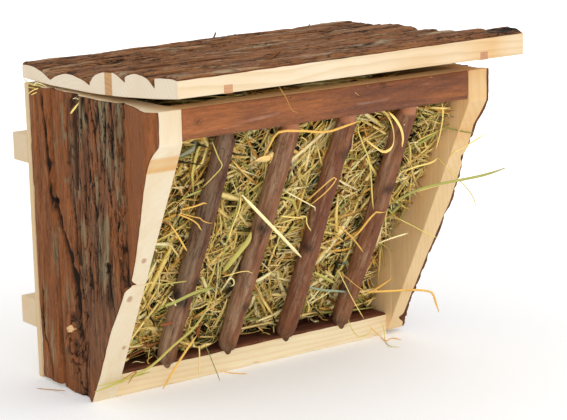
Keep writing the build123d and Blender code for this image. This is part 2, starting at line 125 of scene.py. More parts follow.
KINK_Z = 167.0               # the panels' front edges lean back below this height
LEAN = (FLOOR_Y[0] - FRONT_Y) / KINK_Z
BAR_SET_BACK = 9.8           # bar axis behind the leaning front edge, along Y
LID_REAR_GAP = 2.9           # the lid's underside over the rim, at its rear edge
LID_REAR_SLOPE = radians(2.49)
LID_CUP = 1075.0             # radius of the hollow that the lid has warped to
LID_SLABS = tuple(f"lid_slab_{number}" for number in range(1, 7))
CLEAT_HEIGHT = 4.6
CLEAT_PROUD = 0.15           # the cleats stand out this far, so that their faces don't meet the slabs'
BARS = tuple(f"bar_{number}" for number in range(1, 5))
BAR_PITCH = 45.5
BAR_TOP_SHIFT = (-1.5, -1.0, -4.0, -2.5)     # how far each bar leans along X


def edge_y(z):
    """Y of the panels' leaning front edge at a height."""
    return FRONT_Y + (KINK_Z - z) * LEAN


def lid_underside(y):
    """Height of the cupped lid's underside."""
    reach = LID_REAR - y
    return RIM_Z + LID_REAR_GAP - reach * tan(LID_REAR_SLOPE) + reach**2 / (2 * LID_CUP)


def bar_axis(index, z):
    """X and Y of a bar's axis at a height."""
    rise = (z - FLOOR_TOP) / (RAIL_Z[0] - FLOOR_TOP)
    foot_x = MIDDLE_X + (index - (len(BARS) - 1) / 2) * BAR_PITCH
    return foot_x + BAR_TOP_SHIFT[index] * rise, edge_y(z) + BAR_SET_BACK


def bar_line(index):
    """A bar's foot, its direction and its length from the floor to the rail."""
    foot = np.array([*bar_axis(index, FLOOR_TOP), FLOOR_TOP])
    head = np.array([*bar_axis(index, RAIL_Z[0]), RAIL_Z[0]])
    length = np.linalg.norm(head - foot)
    return foot, (head - foot) / length, length


# ---- Noise and small sums --------------------------------------------------------------


def scatter(i, j, seed):
    """An even random number from 0 to 1 for each cell of a lattice."""
    mask = np.int64(0xFFFFFFFF)
    mixed = (i.astype(np.int64) * 374761393 + j.astype(np.int64) * 668265263 + seed * 1274126177) & mask
    mixed = ((mixed ^ (mixed >> 13)) * 1274126177) & mask
    mixed = ((mixed ^ (mixed >> 16)) * 2246822519) & mask
    return (mixed ^ (mixed >> 15)) / float(mask)


def swell(u, v, seed):
    """Smooth noise, about -1 to 1, with one feature per unit of u and v."""
    u, v = np.broadcast_arrays(np.asarray(u, float), np.asarray(v, float))
    i, j = np.floor(u), np.floor(v)
    fu, fv = u - i, v - j
    su, sv = (f**3 * (f * (f * 6 - 15) + 10) for f in (fu, fv))
    total = np.zeros(u.shape)
    for di in (0, 1):
        for dj in (0, 1):
            turn = 2 * pi * scatter(i + di, j + dj, seed)
            slope = np.cos(turn) * (fu - di) + np.sin(turn) * (fv - dj)
            total += (su if di else 1 - su) * (sv if dj else 1 - sv) * slope
    return total * 1.5


def ripple(along, size, seed):
    """Smooth noise along a line."""
    return swell(along / size, 0 * along, seed)


def ease(x, low, high):
    """0 below low, 1 above high and a smooth step between."""
    t = np.clip((x - low) / (high - low), 0, 1)
    return t * t * (3 - 2 * t)


def spot(*spans):
    """A round bump, 1 at its middle, from pairs of a distance and a size."""
    return np.exp(-sum((away / size) ** 2 for away, size in spans))


def polyline_distance(p, q, path):
    """Distance of points to a line of (p, q) points, and how far along it they are, 0 to 1."""
    path = np.array(path, float)
    nearest = np.full(p.shape, 1e9)
    along = np.zeros(p.shape)
    steps = np.hypot(*(path[1:] - path[:-1]).T)
    total, done = steps.sum(), 0.0
    for (a, b), (c, d), step in zip(path[:-1], path[1:], steps):
        t = np.clip(((p - a) * (c - a) + (q - b) * (d - b)) / step**2, 0, 1)
        away = np.hypot(p - a - t * (c - a), q - b - t * (d - b))
        closer = away < nearest
        nearest = np.where(closer, away, nearest)
        along = np.where(closer, (done + t * step) / total, along)
        done += step
    return nearest, along


# ---- Mesh tools ------------------------------------------------------------------------


def select_only(piece):
    """Make one object the only selected and the active one."""
    bpy.ops.object.select_all(action="DESELECT")
    piece.select_set(True)
    bpy.context.view_layer.objects.active = piece


def form(kind, **settings):
    """A primitive to shape, made at the origin."""
    bpy.ops.object.select_all(action="DESELECT")
    getattr(bpy.ops.mesh, f"primitive_{kind}_add")(location=(0, 0, 0), **settings)
    return bpy.context.object


def edit(piece, chosen="SELECT"):
    """Open a piece in edit mode, with all its vertices selected or none."""
    select_only(piece)
    bpy.ops.object.mode_set(mode="EDIT")
    bpy.ops.mesh.select_mode(type="VERT")
    bpy.ops.mesh.select_all(action=chosen)


def done():
    """Leave edit mode."""
    bpy.ops.object.mode_set(mode="OBJECT")


def split_lengthwise(piece, axis, cuts):
    """Cut the edges of a plain form that run along one axis into even steps."""
    edit(piece, "DESELECT")
    bpy.ops.mesh.select_mode(type="EDGE")
    done()
    ends = read(piece)[read(piece, "vertices", 2, "edges", int)]
    reach = np.abs(ends[:, 1, axis] - ends[:, 0, axis])
    piece.data.edges.foreach_set("select", reach > 0.5 * reach.max())
    bpy.ops.object.mode_set(mode="EDIT")
    bpy.ops.mesh.subdivide(number_cuts=cuts)
    done()


def face_outwards(piece):
    """Turn every face of a closed form outwards."""
    edit(piece)
    bpy.ops.mesh.normals_make_consistent(inside=False)
    done()


def read(piece, field="co", size=3, domain="vertices", kind=float):
    """A field of a piece's mesh as an array."""
    items = getattr(piece.data, domain)
    flat = np.empty(len(items) * size, kind)
    items.foreach_get(field, flat)
    return flat.reshape(-1, size) if size > 1 else flat


def put(piece, points):
    """Write a piece's vertices, given in millimetres."""
    piece.data.vertices.foreach_set("co", (np.asarray(points) * MM).ravel())
    piece.data.update()


def keep(piece, name, values, kind="FLOAT"):
    """Store a value or a vector for each vertex."""
    field = piece.data.attributes.get(name) or piece.data.attributes.new(name, kind, "POINT")
    slot = {"FLOAT": "value", "FLOAT_VECTOR": "vector"}[kind]
    field.data.foreach_set(slot, np.asarray(values, np.float32).ravel())


def kept(piece, name):
    """A stored vector of each vertex."""
    field = piece.data.attributes[name]
    flat = np.empty(len(field.data) * 3, np.float32)
    field.data.foreach_get("vector", flat)
    return flat.reshape(-1, 3).astype(float)


def finish_piece(piece, name, body, finishes, nodes=(), smooth=True):
    """Name a finished piece, give it its materials and fix it to its body.

    smooth says which faces are shaded smooth: all, none, or those of a mask.
    """
    piece.name = piece.data.name = name
    for finish in finishes:
        piece.data.materials.append(FINISHES[finish])
    piece.data.polygons.foreach_set("use_smooth", np.full(len(piece.data.polygons), smooth))
    piece.data.update()
    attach(piece, body)
    if nodes:
        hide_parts(*nodes)
    return piece


# ---- Shader tools ----------------------------------------------------------------------


def paint(red, green, blue):
    """A shader colour from 0 to 255 values as they look on a screen."""
    def flatten(value):
        value /= 255
        return value / 12.92 if value <= 0.04045 else ((value + 0.055) / 1.055) ** 2.4
    return (flatten(red), flatten(green), flatten(blue), 1.0)


class Wiring:
    """Adds linked nodes to one node tree."""

    def __init__(self, tree):
        self.tree = tree

    def node(self, kind, sockets=None, **settings):
        """A node with settings, and with values or links for its inputs by name or number."""
        made = self.tree.nodes.new(kind)
        for key, value in settings.items():
            setattr(made, key, value)
        for socket, value in (sockets or {}).items():
            self.feed(made.inputs[socket], value)
        return made

    def feed(self, socket, value):
        """Link a socket, or set its own value."""
        if isinstance(value, bpy.types.NodeSocket):
            self.tree.links.new(value, socket)
        else:
            socket.default_value = value

    def sum(self, operation, a, b=0.0, c=0.0, clamp=False):
        """A number worked out from up to three others."""
        made = self.node("ShaderNodeMath", {0: a, 1: b, 2: c}, operation=operation, use_clamp=clamp)
        return made.outputs[0]

    def scaled(self, vector, size, turn=(0, 0, 0)):
        """A vector turned, and divided by a feature size along each axis."""
        scale = tuple(1 / s for s in size)
        return self.node("ShaderNodeMapping", {"Vector": vector, "Scale": scale, "Rotation": turn}).outputs[0]

    def noise(self, vector, size, detail=2.0, rough=0.5, distortion=0.0):
        """Noise with one feature per size, about 0 to 1."""
        made = self.node("ShaderNodeTexNoise", {
            "Vector": self.scaled(vector, size), "Scale": 1.0, "Detail": detail,
            "Roughness": rough, "Distortion": distortion})
        return made.outputs["Fac"]

    def step(self, value, low, high, to_low=0.0, to_high=1.0):
        """A smooth step of a number between two others."""
        made = self.node("ShaderNodeMapRange", {
            "Value": value, "From Min": low, "From Max": high, "To Min": to_low, "To Max": to_high},
            interpolation_type="SMOOTHSTEP")
        return made.outputs[0]

    def mix(self, share, a, b, blend="MIX"):
        """Two colours mixed."""
        made = self.node("ShaderNodeMix", {0: share, 6: a, 7: b}, data_type="RGBA", blend_type=blend)
        return made.outputs[2]

    def ramp(self, value, stops):
        """A colour picked by a number from stops of (place, colour)."""
        made = self.node("ShaderNodeValToRGB", {0: value})
        elements = made.color_ramp.elements
        while len(elements) < len(stops):
            elements.new(0.5)
        for element, (place, colour) in zip(elements, stops):
            element.position = place
            element.color = colour
        return made.outputs[0]

    def lit(self, colour, light):
        """A colour made lighter or darker by a factor."""
        return self.node("ShaderNodeVectorMath", {0: colour, 3: light}, operation="SCALE").outputs[0]

    def object_place(self):
        """A point's place on the object, in metres."""
        return self.node("ShaderNodeTexCoord").outputs["Object"]

    def attribute(self, name):
        """A stored vertex value as a number."""
        return self.node("ShaderNodeAttribute", attribute_name=name).outputs["Fac"]


GROUP_SOCKETS = {"vector": "NodeSocketVector", "colour": "NodeSocketColor", "number": "NodeSocketFloat"}
GROUP_OUTPUTS = (("Color", "colour"), ("Height", "number"), ("Roughness", "number"))


def shader_group(name, inputs, build):
    """A node group with named inputs and the usual outputs, which build(wiring, inputs) wires up."""
    tree = bpy.data.node_groups.new(name, "ShaderNodeTree")
    for label, kind, value in inputs:
        socket = tree.interface.new_socket(label, in_out="INPUT", socket_type=GROUP_SOCKETS[kind])
        if value is not None:
            socket.default_value = value
    for label, kind in GROUP_OUTPUTS:
        tree.interface.new_socket(label, in_out="OUTPUT", socket_type=GROUP_SOCKETS[kind])
    wiring = Wiring(tree)
    entry = tree.nodes.new("NodeGroupInput")
    leave = tree.nodes.new("NodeGroupOutput")
    for label, value in build(wiring, entry.outputs).items():
        wiring.feed(leave.inputs[label], value)
    return tree


def sawn_grain_group():
    """Growth rings, fibres and blotches of sawn wood whose grain runs along Z."""
    def build(w, given):
        vector = given["Vector"]
        moved = w.node("ShaderNodeVectorMath", {0: vector, 1: given["Pith"]}, operation="SUBTRACT").outputs[0]
        parts = w.node("ShaderNodeSeparateXYZ", {0: moved}).outputs
        sway = w.noise(vector, (22, 22, 130), 2)
        squares = [w.sum("MULTIPLY", parts[axis], parts[axis]) for axis in (0, 1)]
        radius = w.sum("SQRT", w.sum("ADD", *squares))
        radius = w.sum("MULTIPLY_ADD", sway, 9.0, radius)
        ring = w.sum("FRACT", w.sum("DIVIDE", radius, given["Ring Width"]))
        late = w.sum("MULTIPLY", w.step(ring, 0.35, 0.85), w.step(ring, 0.88, 1.0, 1.0, 0.0))
        fibre = w.noise(vector, (0.55, 0.55, 16), 4, 0.6)
        blotch = w.noise(vector, (16, 16, 55), 3)
        pores = w.step(w.noise(vector, (0.45, 0.45, 3.5), 1), 0.66, 0.78)
        marked = w.sum("MULTIPLY", late, given["Ring Strength"])
        marked = w.sum("MULTIPLY_ADD", w.sum("SUBTRACT", fibre, 0.45), 0.75, marked, clamp=True)
        colour = w.mix(marked, given["Pale"], given["Late"])
        stained = w.sum("MULTIPLY", w.step(blotch, 0.42, 0.72), given["Stain"])
        colour = w.mix(stained, colour, given["Stain Colour"])
        colour = w.mix(w.sum("MULTIPLY", pores, 0.25), colour, given["Late"], "MULTIPLY")
        height = w.sum("MULTIPLY_ADD", late, -0.25, fibre)
        rough = w.sum("MULTIPLY_ADD", fibre, 0.2, 0.55)
        return {"Color": colour, "Height": height, "Roughness": rough}
    return shader_group("sawn_grain", [
        ("Vector", "vector", None), ("Pith", "vector", (0, 60, 0)), ("Ring Width", "number", 2.6),
        ("Ring Strength", "number", 0.35), ("Pale", "colour", paint(240, 222, 188)),
        ("Late", "colour", paint(214, 176, 126)), ("Stain", "number", 0.3),
        ("Stain Colour", "colour", paint(228, 190, 130))], build)


def bark_skin_group():
    """Streaks, growth, fine splits and dark cracks of old bark whose grain runs along Z; the cracks are dark
    partly in their own colour and partly as painted shade, and the low streaks carry painted shade.
    """
    def build(w, given):
        vector = given["Vector"]
        broad = w.noise(vector, (7, 7, 60), 3, 0.55, 0.4)
        streak = w.noise(vector, (2.3, 2.3, 26), 4, 0.62, 0.3)
        fine = w.noise(vector, (0.8, 0.8, 4), 3, 0.65)
        thread = w.noise(vector, (4.0, 4.0, 26), 3, 0.6, 0.5)
        thread = w.sum("ABSOLUTE", w.sum("SUBTRACT", thread, 0.5))
        split = w.sum("MULTIPLY", w.step(thread, 0.0, 0.03, 1.0, 0.0), given["Crag"], clamp=True)
        tone = w.sum("ADD", given["Tone"], w.sum("MULTIPLY_ADD", broad, 2.2, -1.1), clamp=True)
        colour = w.mix(tone, given["Red"], given["Brown"])
        grey = w.sum("ADD", given["Lichen"], w.sum("MULTIPLY_ADD", streak, 1.8, -1.05))
        grey = w.sum("MULTIPLY", w.step(grey, 0.05, 0.75), given["Lichen Strength"], clamp=True)
        colour = w.mix(grey, colour, given["Grey"])
        light = w.sum("MULTIPLY_ADD", fine, 0.9, w.sum("MULTIPLY", streak, 1.1))
        shaded = w.lit(colour, light)
        fleck = w.step(w.noise(vector, (0.5, 0.5, 2.5), 2), 0.63, 0.74)
        shaded = w.mix(w.sum("MULTIPLY", fleck, given["Flecks"]), shaded, given["Fleck Colour"])
        # painted shade: darker where the streaks, and so the relief, are low, and in the fine splits
        low = w.sum("MULTIPLY", w.step(streak, 0.4, 0.27, 0.0, 0.7), given["Crag"])
        dark = w.sum("ADD", given["Dark"], w.sum("MULTIPLY_ADD", split, 0.65, low), clamp=True)
        shaded = w.mix(dark, shaded, given["Crack Colour"])
        height = w.sum("MULTIPLY_ADD", split, -0.7, w.sum("MULTIPLY_ADD", fine, 0.5, streak))
        rough = w.sum("MULTIPLY_ADD", fine, 0.3, 0.6)
        return {"Color": shaded, "Height": height, "Roughness": rough}
    return shader_group("bark_skin", [
        ("Vector", "vector", None), ("Tone", "number", 0.5), ("Lichen", "number", 0.0),
        ("Dark", "number", 0.0), ("Crag", "number", 0.5), ("Lichen Strength", "number", 0.8),
        ("Flecks", "number", 0.3),
        ("Red", "colour", paint(120, 72, 54)), ("Brown", "colour", paint(142, 84, 48)),
        ("Grey", "colour", paint(140, 132, 106)), ("Fleck Colour", "colour", paint(170, 160, 134)),
        ("Crack Colour", "colour", paint(34, 23, 15))], build)


def plated_wear_group():
    """Fine rolling marks and dull spots of zinc plating."""
    def build(w, given):
        vector = given["Vector"]
        lines = w.noise(vector, (4, 0.25, 0.25), 3)
        spots = w.step(w.noise(vector, (1.4, 1.4, 1.4), 3), 0.5, 0.75)
        colour = w.mix(w.sum("MULTIPLY", spots, 0.5), given["Bright"], given["Dull"])
        rough = w.sum("MULTIPLY_ADD", lines, 0.25, w.sum("MULTIPLY_ADD", spots, 0.2, 0.2))
        return {"Color": colour, "Height": lines, "Roughness": rough}
    return shader_group("plated_wear", [
        ("Vector", "vector", None), ("Bright", "colour", paint(196, 194, 188)),
        ("Dull", "colour", paint(140, 136, 126))], build)


def dry_stalk_group():
    """The spread of colours in a bundle of hay, picked by a stored value, with fibres along it."""
    def build(w, given):
        vector = given["Vector"]
        colour = w.ramp(given["Tone"], HAY_TONES)
        patch = w.noise(vector, (9, 9, 9), 2)
        fibre = w.noise(vector, (0.6, 0.6, 0.6), 3)
        # patches of weathering on the hay; on the hay core, whose colours are all dark, they are painted
        # shade
        colour = w.mix(w.step(patch, 0.5, 0.8, 0.0, 0.35), colour, given["Weathered"])
        light = w.sum("MULTIPLY_ADD", fibre, 0.6, 0.9)
        colour = w.lit(colour, light)
        return {"Color": colour, "Height": fibre, "Roughness": w.sum("MULTIPLY_ADD", patch, 0.3, 0.4)}
    return shader_group("dry_stalk", [
        ("Vector", "vector", None), ("Tone", "number", 0.5),
        ("Weathered", "colour", paint(170, 140, 92))], build)


HAY_TONES = (
    (0.00, paint(42, 36, 16)),      # dark olive, painted shade of the hay's depths
    (0.14, paint(112, 112, 54)),    # green
    (0.28, paint(160, 162, 88)),    # yellow green
    (0.42, paint(216, 198, 106)),   # pale green
    (0.56, paint(252, 222, 134)),   # straw
    (0.68, paint(255, 241, 182)),   # cream
    (0.80, paint(236, 182, 82)),    # golden
    (0.90, paint(164, 116, 62)),    # golden brown
    (0.95, paint(150, 82, 44)),     # rust
    (1.00, paint(150, 168, 142)),   # blue green
)
TONE = {"olive": 0.0, "dull_green": 0.2, "green": 0.3, "yellow_green": 0.36, "pale_green": 0.44,
        "straw": 0.56, "cream": 0.68, "broad_gold": 0.75, "golden": 0.79, "golden_brown": 0.88,
        "rust": 0.95, "blue_green": 1.0}
GRAIN_ALONG = {"X": (0, -pi / 2, 0), "Z": (0, 0, 0), "bar": (-atan(LEAN), 0, 0)}     # the grain turned to Z


FINISHES = {}


def new_material(name):
    """The wiring, shader and object place of a new material, which FINISHES keeps."""
    material = FINISHES[name] = bpy.data.materials.new(name)
    material.use_nodes = True
    w = Wiring(material.node_tree)
    return w, material.node_tree.nodes["Principled BSDF"], w.object_place()


def wire_surface(w, shader, group, relief, specular=0.3):
    """Feed a shader from a group's colour, roughness and height."""
    w.feed(shader.inputs["Base Color"], group.outputs["Color"])
    w.feed(shader.inputs["Roughness"], group.outputs["Roughness"])
    shader.inputs["Specular IOR Level"].default_value = specular
    bump = w.node("ShaderNodeBump", {
        "Strength": 1.0, "Distance": relief * MM, "Height": group.outputs["Height"]})
    w.feed(shader.inputs["Normal"], bump.outputs[0])


def grouped_material(name, tree, along, relief, values=(), fields=(), specular=0.3):
    """A material made of one shader group, with its own values and stored fields."""
    w, shader, place = new_material(name)
    vector = w.scaled(place, (MM, MM, MM), GRAIN_ALONG[along])
    group = w.node("ShaderNodeGroup", node_tree=tree)
    w.feed(group.inputs["Vector"], vector)
    for label, value in dict(values).items():
        w.feed(group.inputs[label], value)
    for field in fields:
        w.feed(group.inputs[field.capitalize()], w.attribute(field))
    wire_surface(w, shader, group, relief, specular)
    return w, shader, group


PIN_KNOTS = ((-6.0, 95, 2.4), (-9.0, 70, 2.8), (-4.0, 36, 1.8))      # X from the left inner face, Z, size


def knotted(w, colour):
    """A colour with small brown knots along the left panel's leaning edge."""
    place = w.object_place()
    rough = w.noise(place, (0.002, 0.002, 0.004), 2)
    for x, z, size in PIN_KNOTS:
        centre = ((LEFT_IN + x) * MM, edge_y(z) * MM, z * MM)
        away = w.node("ShaderNodeVectorMath", {0: place, 1: centre}, operation="DISTANCE").outputs["Value"]
        away = w.sum("MULTIPLY_ADD", rough, size * MM, away)
        knot = w.step(away, size * MM * 0.9, size * MM * 1.5, 0.6, 0.0)
        colour = w.mix(knot, colour, paint(168, 104, 64))
    return colour


def make_finishes(look):
    """Make every material of the object from the chosen colours."""
    sawn, bark = sawn_grain_group(), bark_skin_group()
    plate, stalk = plated_wear_group(), dry_stalk_group()
    marks = ("tone", "lichen", "dark", "crag")
    old = {"Red": tuple(look.bark_red), "Brown": tuple(look.bark_brown), "Grey": tuple(look.bark_grey)}
    pale = {"Pale": tuple(look.sawn_pale), "Late": tuple(look.sawn_late)}
    add = grouped_material
    add("bark_upright", bark, "Z", 0.5, {**old, "Flecks": 0.45}, marks, specular=0.15)
    add("bark_lengthwise", bark, "X", 0.5, {
        **old, "Red": paint(128, 82, 50), "Brown": paint(150, 99, 58), "Grey": paint(172, 152, 120),
        "Fleck Colour": paint(198, 190, 178), "Flecks": 0.45}, marks, specular=0.15)
    add("rail_bark", bark, "X", 0.1, {
        "Red": paint(124, 76, 52), "Brown": paint(168, 102, 58), "Grey": paint(178, 144, 126),
        "Lichen Strength": 0.4, "Flecks": 0.2, "Fleck Colour": paint(206, 180, 166)}, marks, specular=0.4)
    add("floor_bark", bark, "X", 0.15, {
        "Red": paint(98, 52, 38), "Brown": paint(112, 64, 44), "Lichen Strength": 0.3}, marks)
    add("bark_cut", bark, "Z", 0.2, {
        "Red": paint(98, 54, 32), "Brown": paint(138, 84, 46), "Tone": 0.4, "Lichen": -0.4, "Dark": 0.1},
        specular=0.15)
    for name, along, values in (
        ("sawn_upright", "Z", {"Pith": (-90, 0, 0), "Ring Width": 3.1, "Ring Strength": 0.1}),
        ("sawn_upright_right", "Z", {"Pith": (70, 0, 0), "Ring Strength": 0.2, "Pale": paint(246, 214, 164),
                                     "Late": paint(224, 182, 122)}),
        ("sawn_lengthwise", "X", {"Pith": (-130, 10, 0), "Ring Width": 2.8, "Ring Strength": 0.5,
                                  "Pale": paint(245, 227, 196)}),
        ("sawn_back", "Z", {"Pith": (30, 0, 0), "Ring Width": 5.0, "Pale": paint(228, 206, 166)}),
        ("sawn_batten", "X", {"Pith": (-90, 60, 0), "Ring Width": 2.4, "Pale": paint(230, 210, 178)}),
        ("sawn_floor", "X", {"Pith": (-60, 30, -40), "Ring Width": 3.2, "Ring Strength": 0.4,
                             "Pale": paint(255, 238, 200), "Late": paint(240, 206, 154)}),
    ):
        w, shader, group = add(name, sawn, along, 0.08, {**pale, **values})
        stain = w.mix(w.attribute("stain"), group.outputs["Color"], tuple(look.resin), "MULTIPLY")
        if name == "sawn_lengthwise":
            facing = w.node("ShaderNodeTexCoord").outputs["Normal"]
            facing = w.node("ShaderNodeSeparateXYZ", {0: facing}).outputs[0]
            end = w.step(w.sum("ABSOLUTE", facing), 0.8, 0.95, 0.0, 0.55)
            stain = w.mix(end, stain, paint(240, 228, 208))
        w.feed(shader.inputs["Base Color"], knotted(w, stain) if name == "sawn_upright" else stain)
    add("stub_wood", sawn, "Z", 0.1, {
        "Pale": paint(240, 196, 140), "Late": paint(140, 76, 40), "Pith": (0, KNOT_Y, KNOT_Z),
        "Ring Width": 2.2, "Ring Strength": 0.6})
    add("filler_wood", sawn, "X", 0.08, {"Pale": paint(206, 158, 108), "Late": paint(170, 116, 70)})
    add("cleat_wood", sawn, "X", 0.08, {
        "Pale": paint(206, 148, 116), "Late": paint(172, 110, 80), "Ring Width": 1.4})
    # on the bars the grey is partly lichen and partly a painted sheen down one side
    w, shader, group = add("branch_bark", bark, "bar", 0.12, {
        "Red": paint(124, 74, 50), "Brown": paint(152, 102, 68), "Grey": paint(172, 148, 120),
        "Lichen Strength": 0.6, "Flecks": 0.3}, marks, specular=0.35)
    shaved = w.mix(w.attribute("shaved"), group.outputs["Color"], paint(186, 126, 92))
    w.feed(shader.inputs["Base Color"], shaved)
    for name, bright in (("hinge_steel", paint(190, 186, 172)), ("fastener_steel", paint(176, 176, 174))):
        w, shader, group = add(name, plate, "X", 0.02, {"Bright": bright}, specular=0.5)
        shader.inputs["Metallic"].default_value = 1.0
    add("hay", stalk, "X", 0.08, fields=["tone"], specular=0.25)
    # the hay core's colour is painted shade: the dark olive tone with darker patches
    add("hay_depth", stalk, "X", 0.8, {"Tone": 0.0, "Weathered": paint(44, 34, 16)}, specular=0.1)


# ---- Boards that keep their bark -------------------------------------------------------


class Outline:
    """The outline of a board, p across its grain and q along it, with a leaning front edge if asked."""

    def __init__(self, p_range, q_range, leans=False):
        self.p_range, self.q_range, self.leans = p_range, q_range, leans

    def sides(self, p, q):
        """Name, distance inside, direction inwards and place along, for each side of the outline."""
        (p0, p1), (q0, q1) = self.p_range, self.q_range
        rows = [("front", p - p0, (1, 0), q), ("rear", p1 - p, (-1, 0), q),
                ("low", q - q0, (0, 1), p), ("high", q1 - q, (0, -1), p)]
        if self.leans:
            slant = np.hypot(1, LEAN)
            rows.append(("front", (p - edge_y(q)) / slant, (1 / slant, LEAN / slant), q))
        return rows

    def distance(self, p, q):
        """Distance inside the outline."""
        return np.minimum.reduce([away for _, away, _, _ in self.sides(p, q)])

    def pulled(self, p, q, amount, reach):
        """Points near the outline pulled in by an amount for each side, fading out over a reach."""
        new_p, new_q = p.copy(), q.copy()
        for side, away, (dp, dq), along in self.sides(p, q):
            pull = amount(side, along) * np.clip(1 - away / reach, 0, 1) ** 2
            new_p += dp * pull
            new_q += dq * pull
        return new_p, new_q


class SolidFace:
    """The outer face of a CAD board, with its ridges rounded: its height over the back at places (p, q).

    place(p, q, h) gives the point h above the back.
    """

    def __init__(self, node, outline, place, clear=40.0, pitch=1.4):
        data = bpy.data.objects[node].data
        tree = BVHTree.FromPolygons([v.co for v in data.vertices], [f.vertices for f in data.polygons])
        (p0, p1), (q0, q1) = outline.p_range, outline.q_range
        self.p = np.linspace(p0 + 0.1, p1 - 0.1, max(4, round((p1 - p0) / pitch)))
        self.q = np.linspace(q0 + 0.1, q1 - 0.1, max(4, round((q1 - q0) / pitch)))
        p, q = (flat.ravel() for flat in np.meshgrid(self.p, self.q, indexing="ij"))
        found = []
        for start, back in zip(place(p, q, clear + 0 * p) * MM, place(p, q, 0 * p) * MM):
            far = tree.ray_cast(Vector(start), Vector(back - start).normalized())[3]
            found.append(np.nan if far is None else clear - far / MM)
        self.height = self.rounded(self.filled(np.reshape(found, (len(self.p), len(self.q)))))

    def filled(self, height):
        """Heights carried on past the trimmed edges of the board."""
        whole = []
        for j, column in enumerate(height.T):
            known = np.isfinite(column) & (column > 1.0)
            if known.sum() > 1:
                height[:, j] = np.interp(self.p, self.p[known], column[known])
                whole.append(j)
        away = np.abs(np.arange(len(self.q))[:, None] - np.array(whole)[None])
        return height[:, np.array(whole)[away.argmin(1)]]

    def rounded(self, height):
        """Heights averaged with their neighbours."""
        for axis, passes in ((0, 2), (1, 3)):
            for _ in range(passes):
                padded = np.pad(height, [(1, 1) if axis == k else (0, 0) for k in (0, 1)], mode="edge")
                before, after = (np.take(padded, range(k, k + height.shape[axis]), axis) for k in (0, 2))
                height = 0.5 * height + 0.25 * (before + after)
        return height

    def cell(self, places, line):
        """Where places fall on a line of samples, as numbers and as the sample before each."""
        found = np.interp(places, line, range(len(line)))
        return found, np.minimum(found.astype(int), len(line) - 2)

    def __call__(self, p, q):
        (i, i0), (j, j0) = (self.cell(p, self.p), self.cell(q, self.q))
        fi, fj, h = i - i0, j - j0, self.height
        near = h[i0, j0] * (1 - fj) + h[i0, j0 + 1] * fj
        far = h[i0 + 1, j0] * (1 - fj) + h[i0 + 1, j0 + 1] * fj
        return near * (1 - fi) + far * fi


def bark_marks(u, v, seed, rough=1.0, cracks=1.0):
    """Relief in millimetres and the colour marks of bark, u across and v along the grain."""
    w = u + 2.0 * swell(u / 17, v / 55, seed) + 0.9 * swell(u / 6, v / 20, seed + 1)
    ridge = swell(w / 5.6, v / 60, seed + 2)
    strand = swell(w / 2.3, v / 18, seed + 3)
    flake = np.round(3 * swell(w / 5.5, v / 15, seed + 4)) / 3
    open_here = ease(swell(u / 22, v / 38, seed + 5), -0.5, 0.1)
    fissure = (1 - ease(np.abs(swell(w / 7.2, v / 60, seed + 6)), 0.02, 0.16)) * open_here
    hairline = (1 - ease(np.abs(swell(w / 3.2, v / 24, seed + 7)), 0.0, 0.2)) * ease(-ridge, -0.5, 0.5)
    patch = 0.6 * swell(u / 12, v / 40, seed + 9) + 0.6 * swell(w / 3.4, v / 26, seed + 8)
    grown = rough * (0.7 * ridge + 0.3 * strand + 0.3 * flake)
    return {
        "relief": grown - cracks * (1.5 * fissure + 0.5 * hairline),
        # dark: the cracks' own colour, and painted shade in the fissures, hairlines and hollows between
        # ridges
        "dark": cracks * (0.95 * fissure**1.2 + 0.5 * hairline**2) + 0.25 * rough * ease(-ridge, 0.15, 0.6),
        "lichen": rough * (0.6 * ridge + 0.35 * flake + 0.4 * patch),
        "tone": 0.5 + 0.5 * swell(w / 9, v / 60, seed + 10),
        "crag": np.clip(0.5 * (rough + cracks) + 0 * u, 0, 1.4),
    }


def add_crack(marks, p, q, path, width, depth, seed):
    """Cut one wandering crack into a set of bark marks."""
    wander = 0.7 * swell(p / 3, q / 7, seed)
    away, along = polyline_distance(p + wander, q, path)
    taper = ease(along, 0.0, 0.06) * ease(-along, -1.0, -0.9)
    wide = width * (0.75 + 0.5 * swell(along * 9, along * 0, seed + 1)) * (0.3 + 0.7 * taper)
    cut = (1 - ease(away, wide * 0.3, wide)) * (0.4 + 0.6 * taper)
    marks["relief"] -= depth * cut
    # the crack is darkened partly in its own colour and partly as painted shade
    marks["dark"] = np.maximum(marks["dark"], 1.1 * cut)
    marks["lichen"] -= cut


def flat_grid(outline, step):
    """A flat grid over an outline, trimmed along its leaning edge, with its flat places stored."""
    (p0, p1), (q0, q1) = outline.p_range, outline.q_range
    piece = form("grid", x_subdivisions=max(2, round((p1 - p0) / step)),
                 y_subdivisions=max(2, round((q1 - q0) / step)), size=1)
    flat = read(piece)[:, :2]
    unit = (flat - flat.min(0)) / (flat.max(0) - flat.min(0))
    put(piece, np.stack([p0 + unit[:, 0] * (p1 - p0), q0 + unit[:, 1] * (q1 - q0), 0 * unit[:, 0]], 1))
    if outline.leans:
        edit(piece)
        bpy.ops.mesh.bisect(plane_co=(FRONT_Y * MM, KINK_Z * MM, 0),
                            plane_no=Vector((-1, -LEAN, 0)).normalized(), clear_outer=True, threshold=1e-6)
        bpy.ops.mesh.select_all(action="SELECT")
        bpy.ops.mesh.remove_doubles(threshold=0.12 * MM)
        done()
    keep(piece, "flat", read(piece), "FLOAT_VECTOR")
    return piece


def select_border(piece):
    """Select the border of a piece's sheet."""
    edit(piece, "DESELECT")
    bpy.ops.mesh.select_mode(type="EDGE")
    bpy.ops.mesh.select_non_manifold(
        extend=False, use_wire=False, use_multi_face=False, use_non_contiguous=False)
    done()


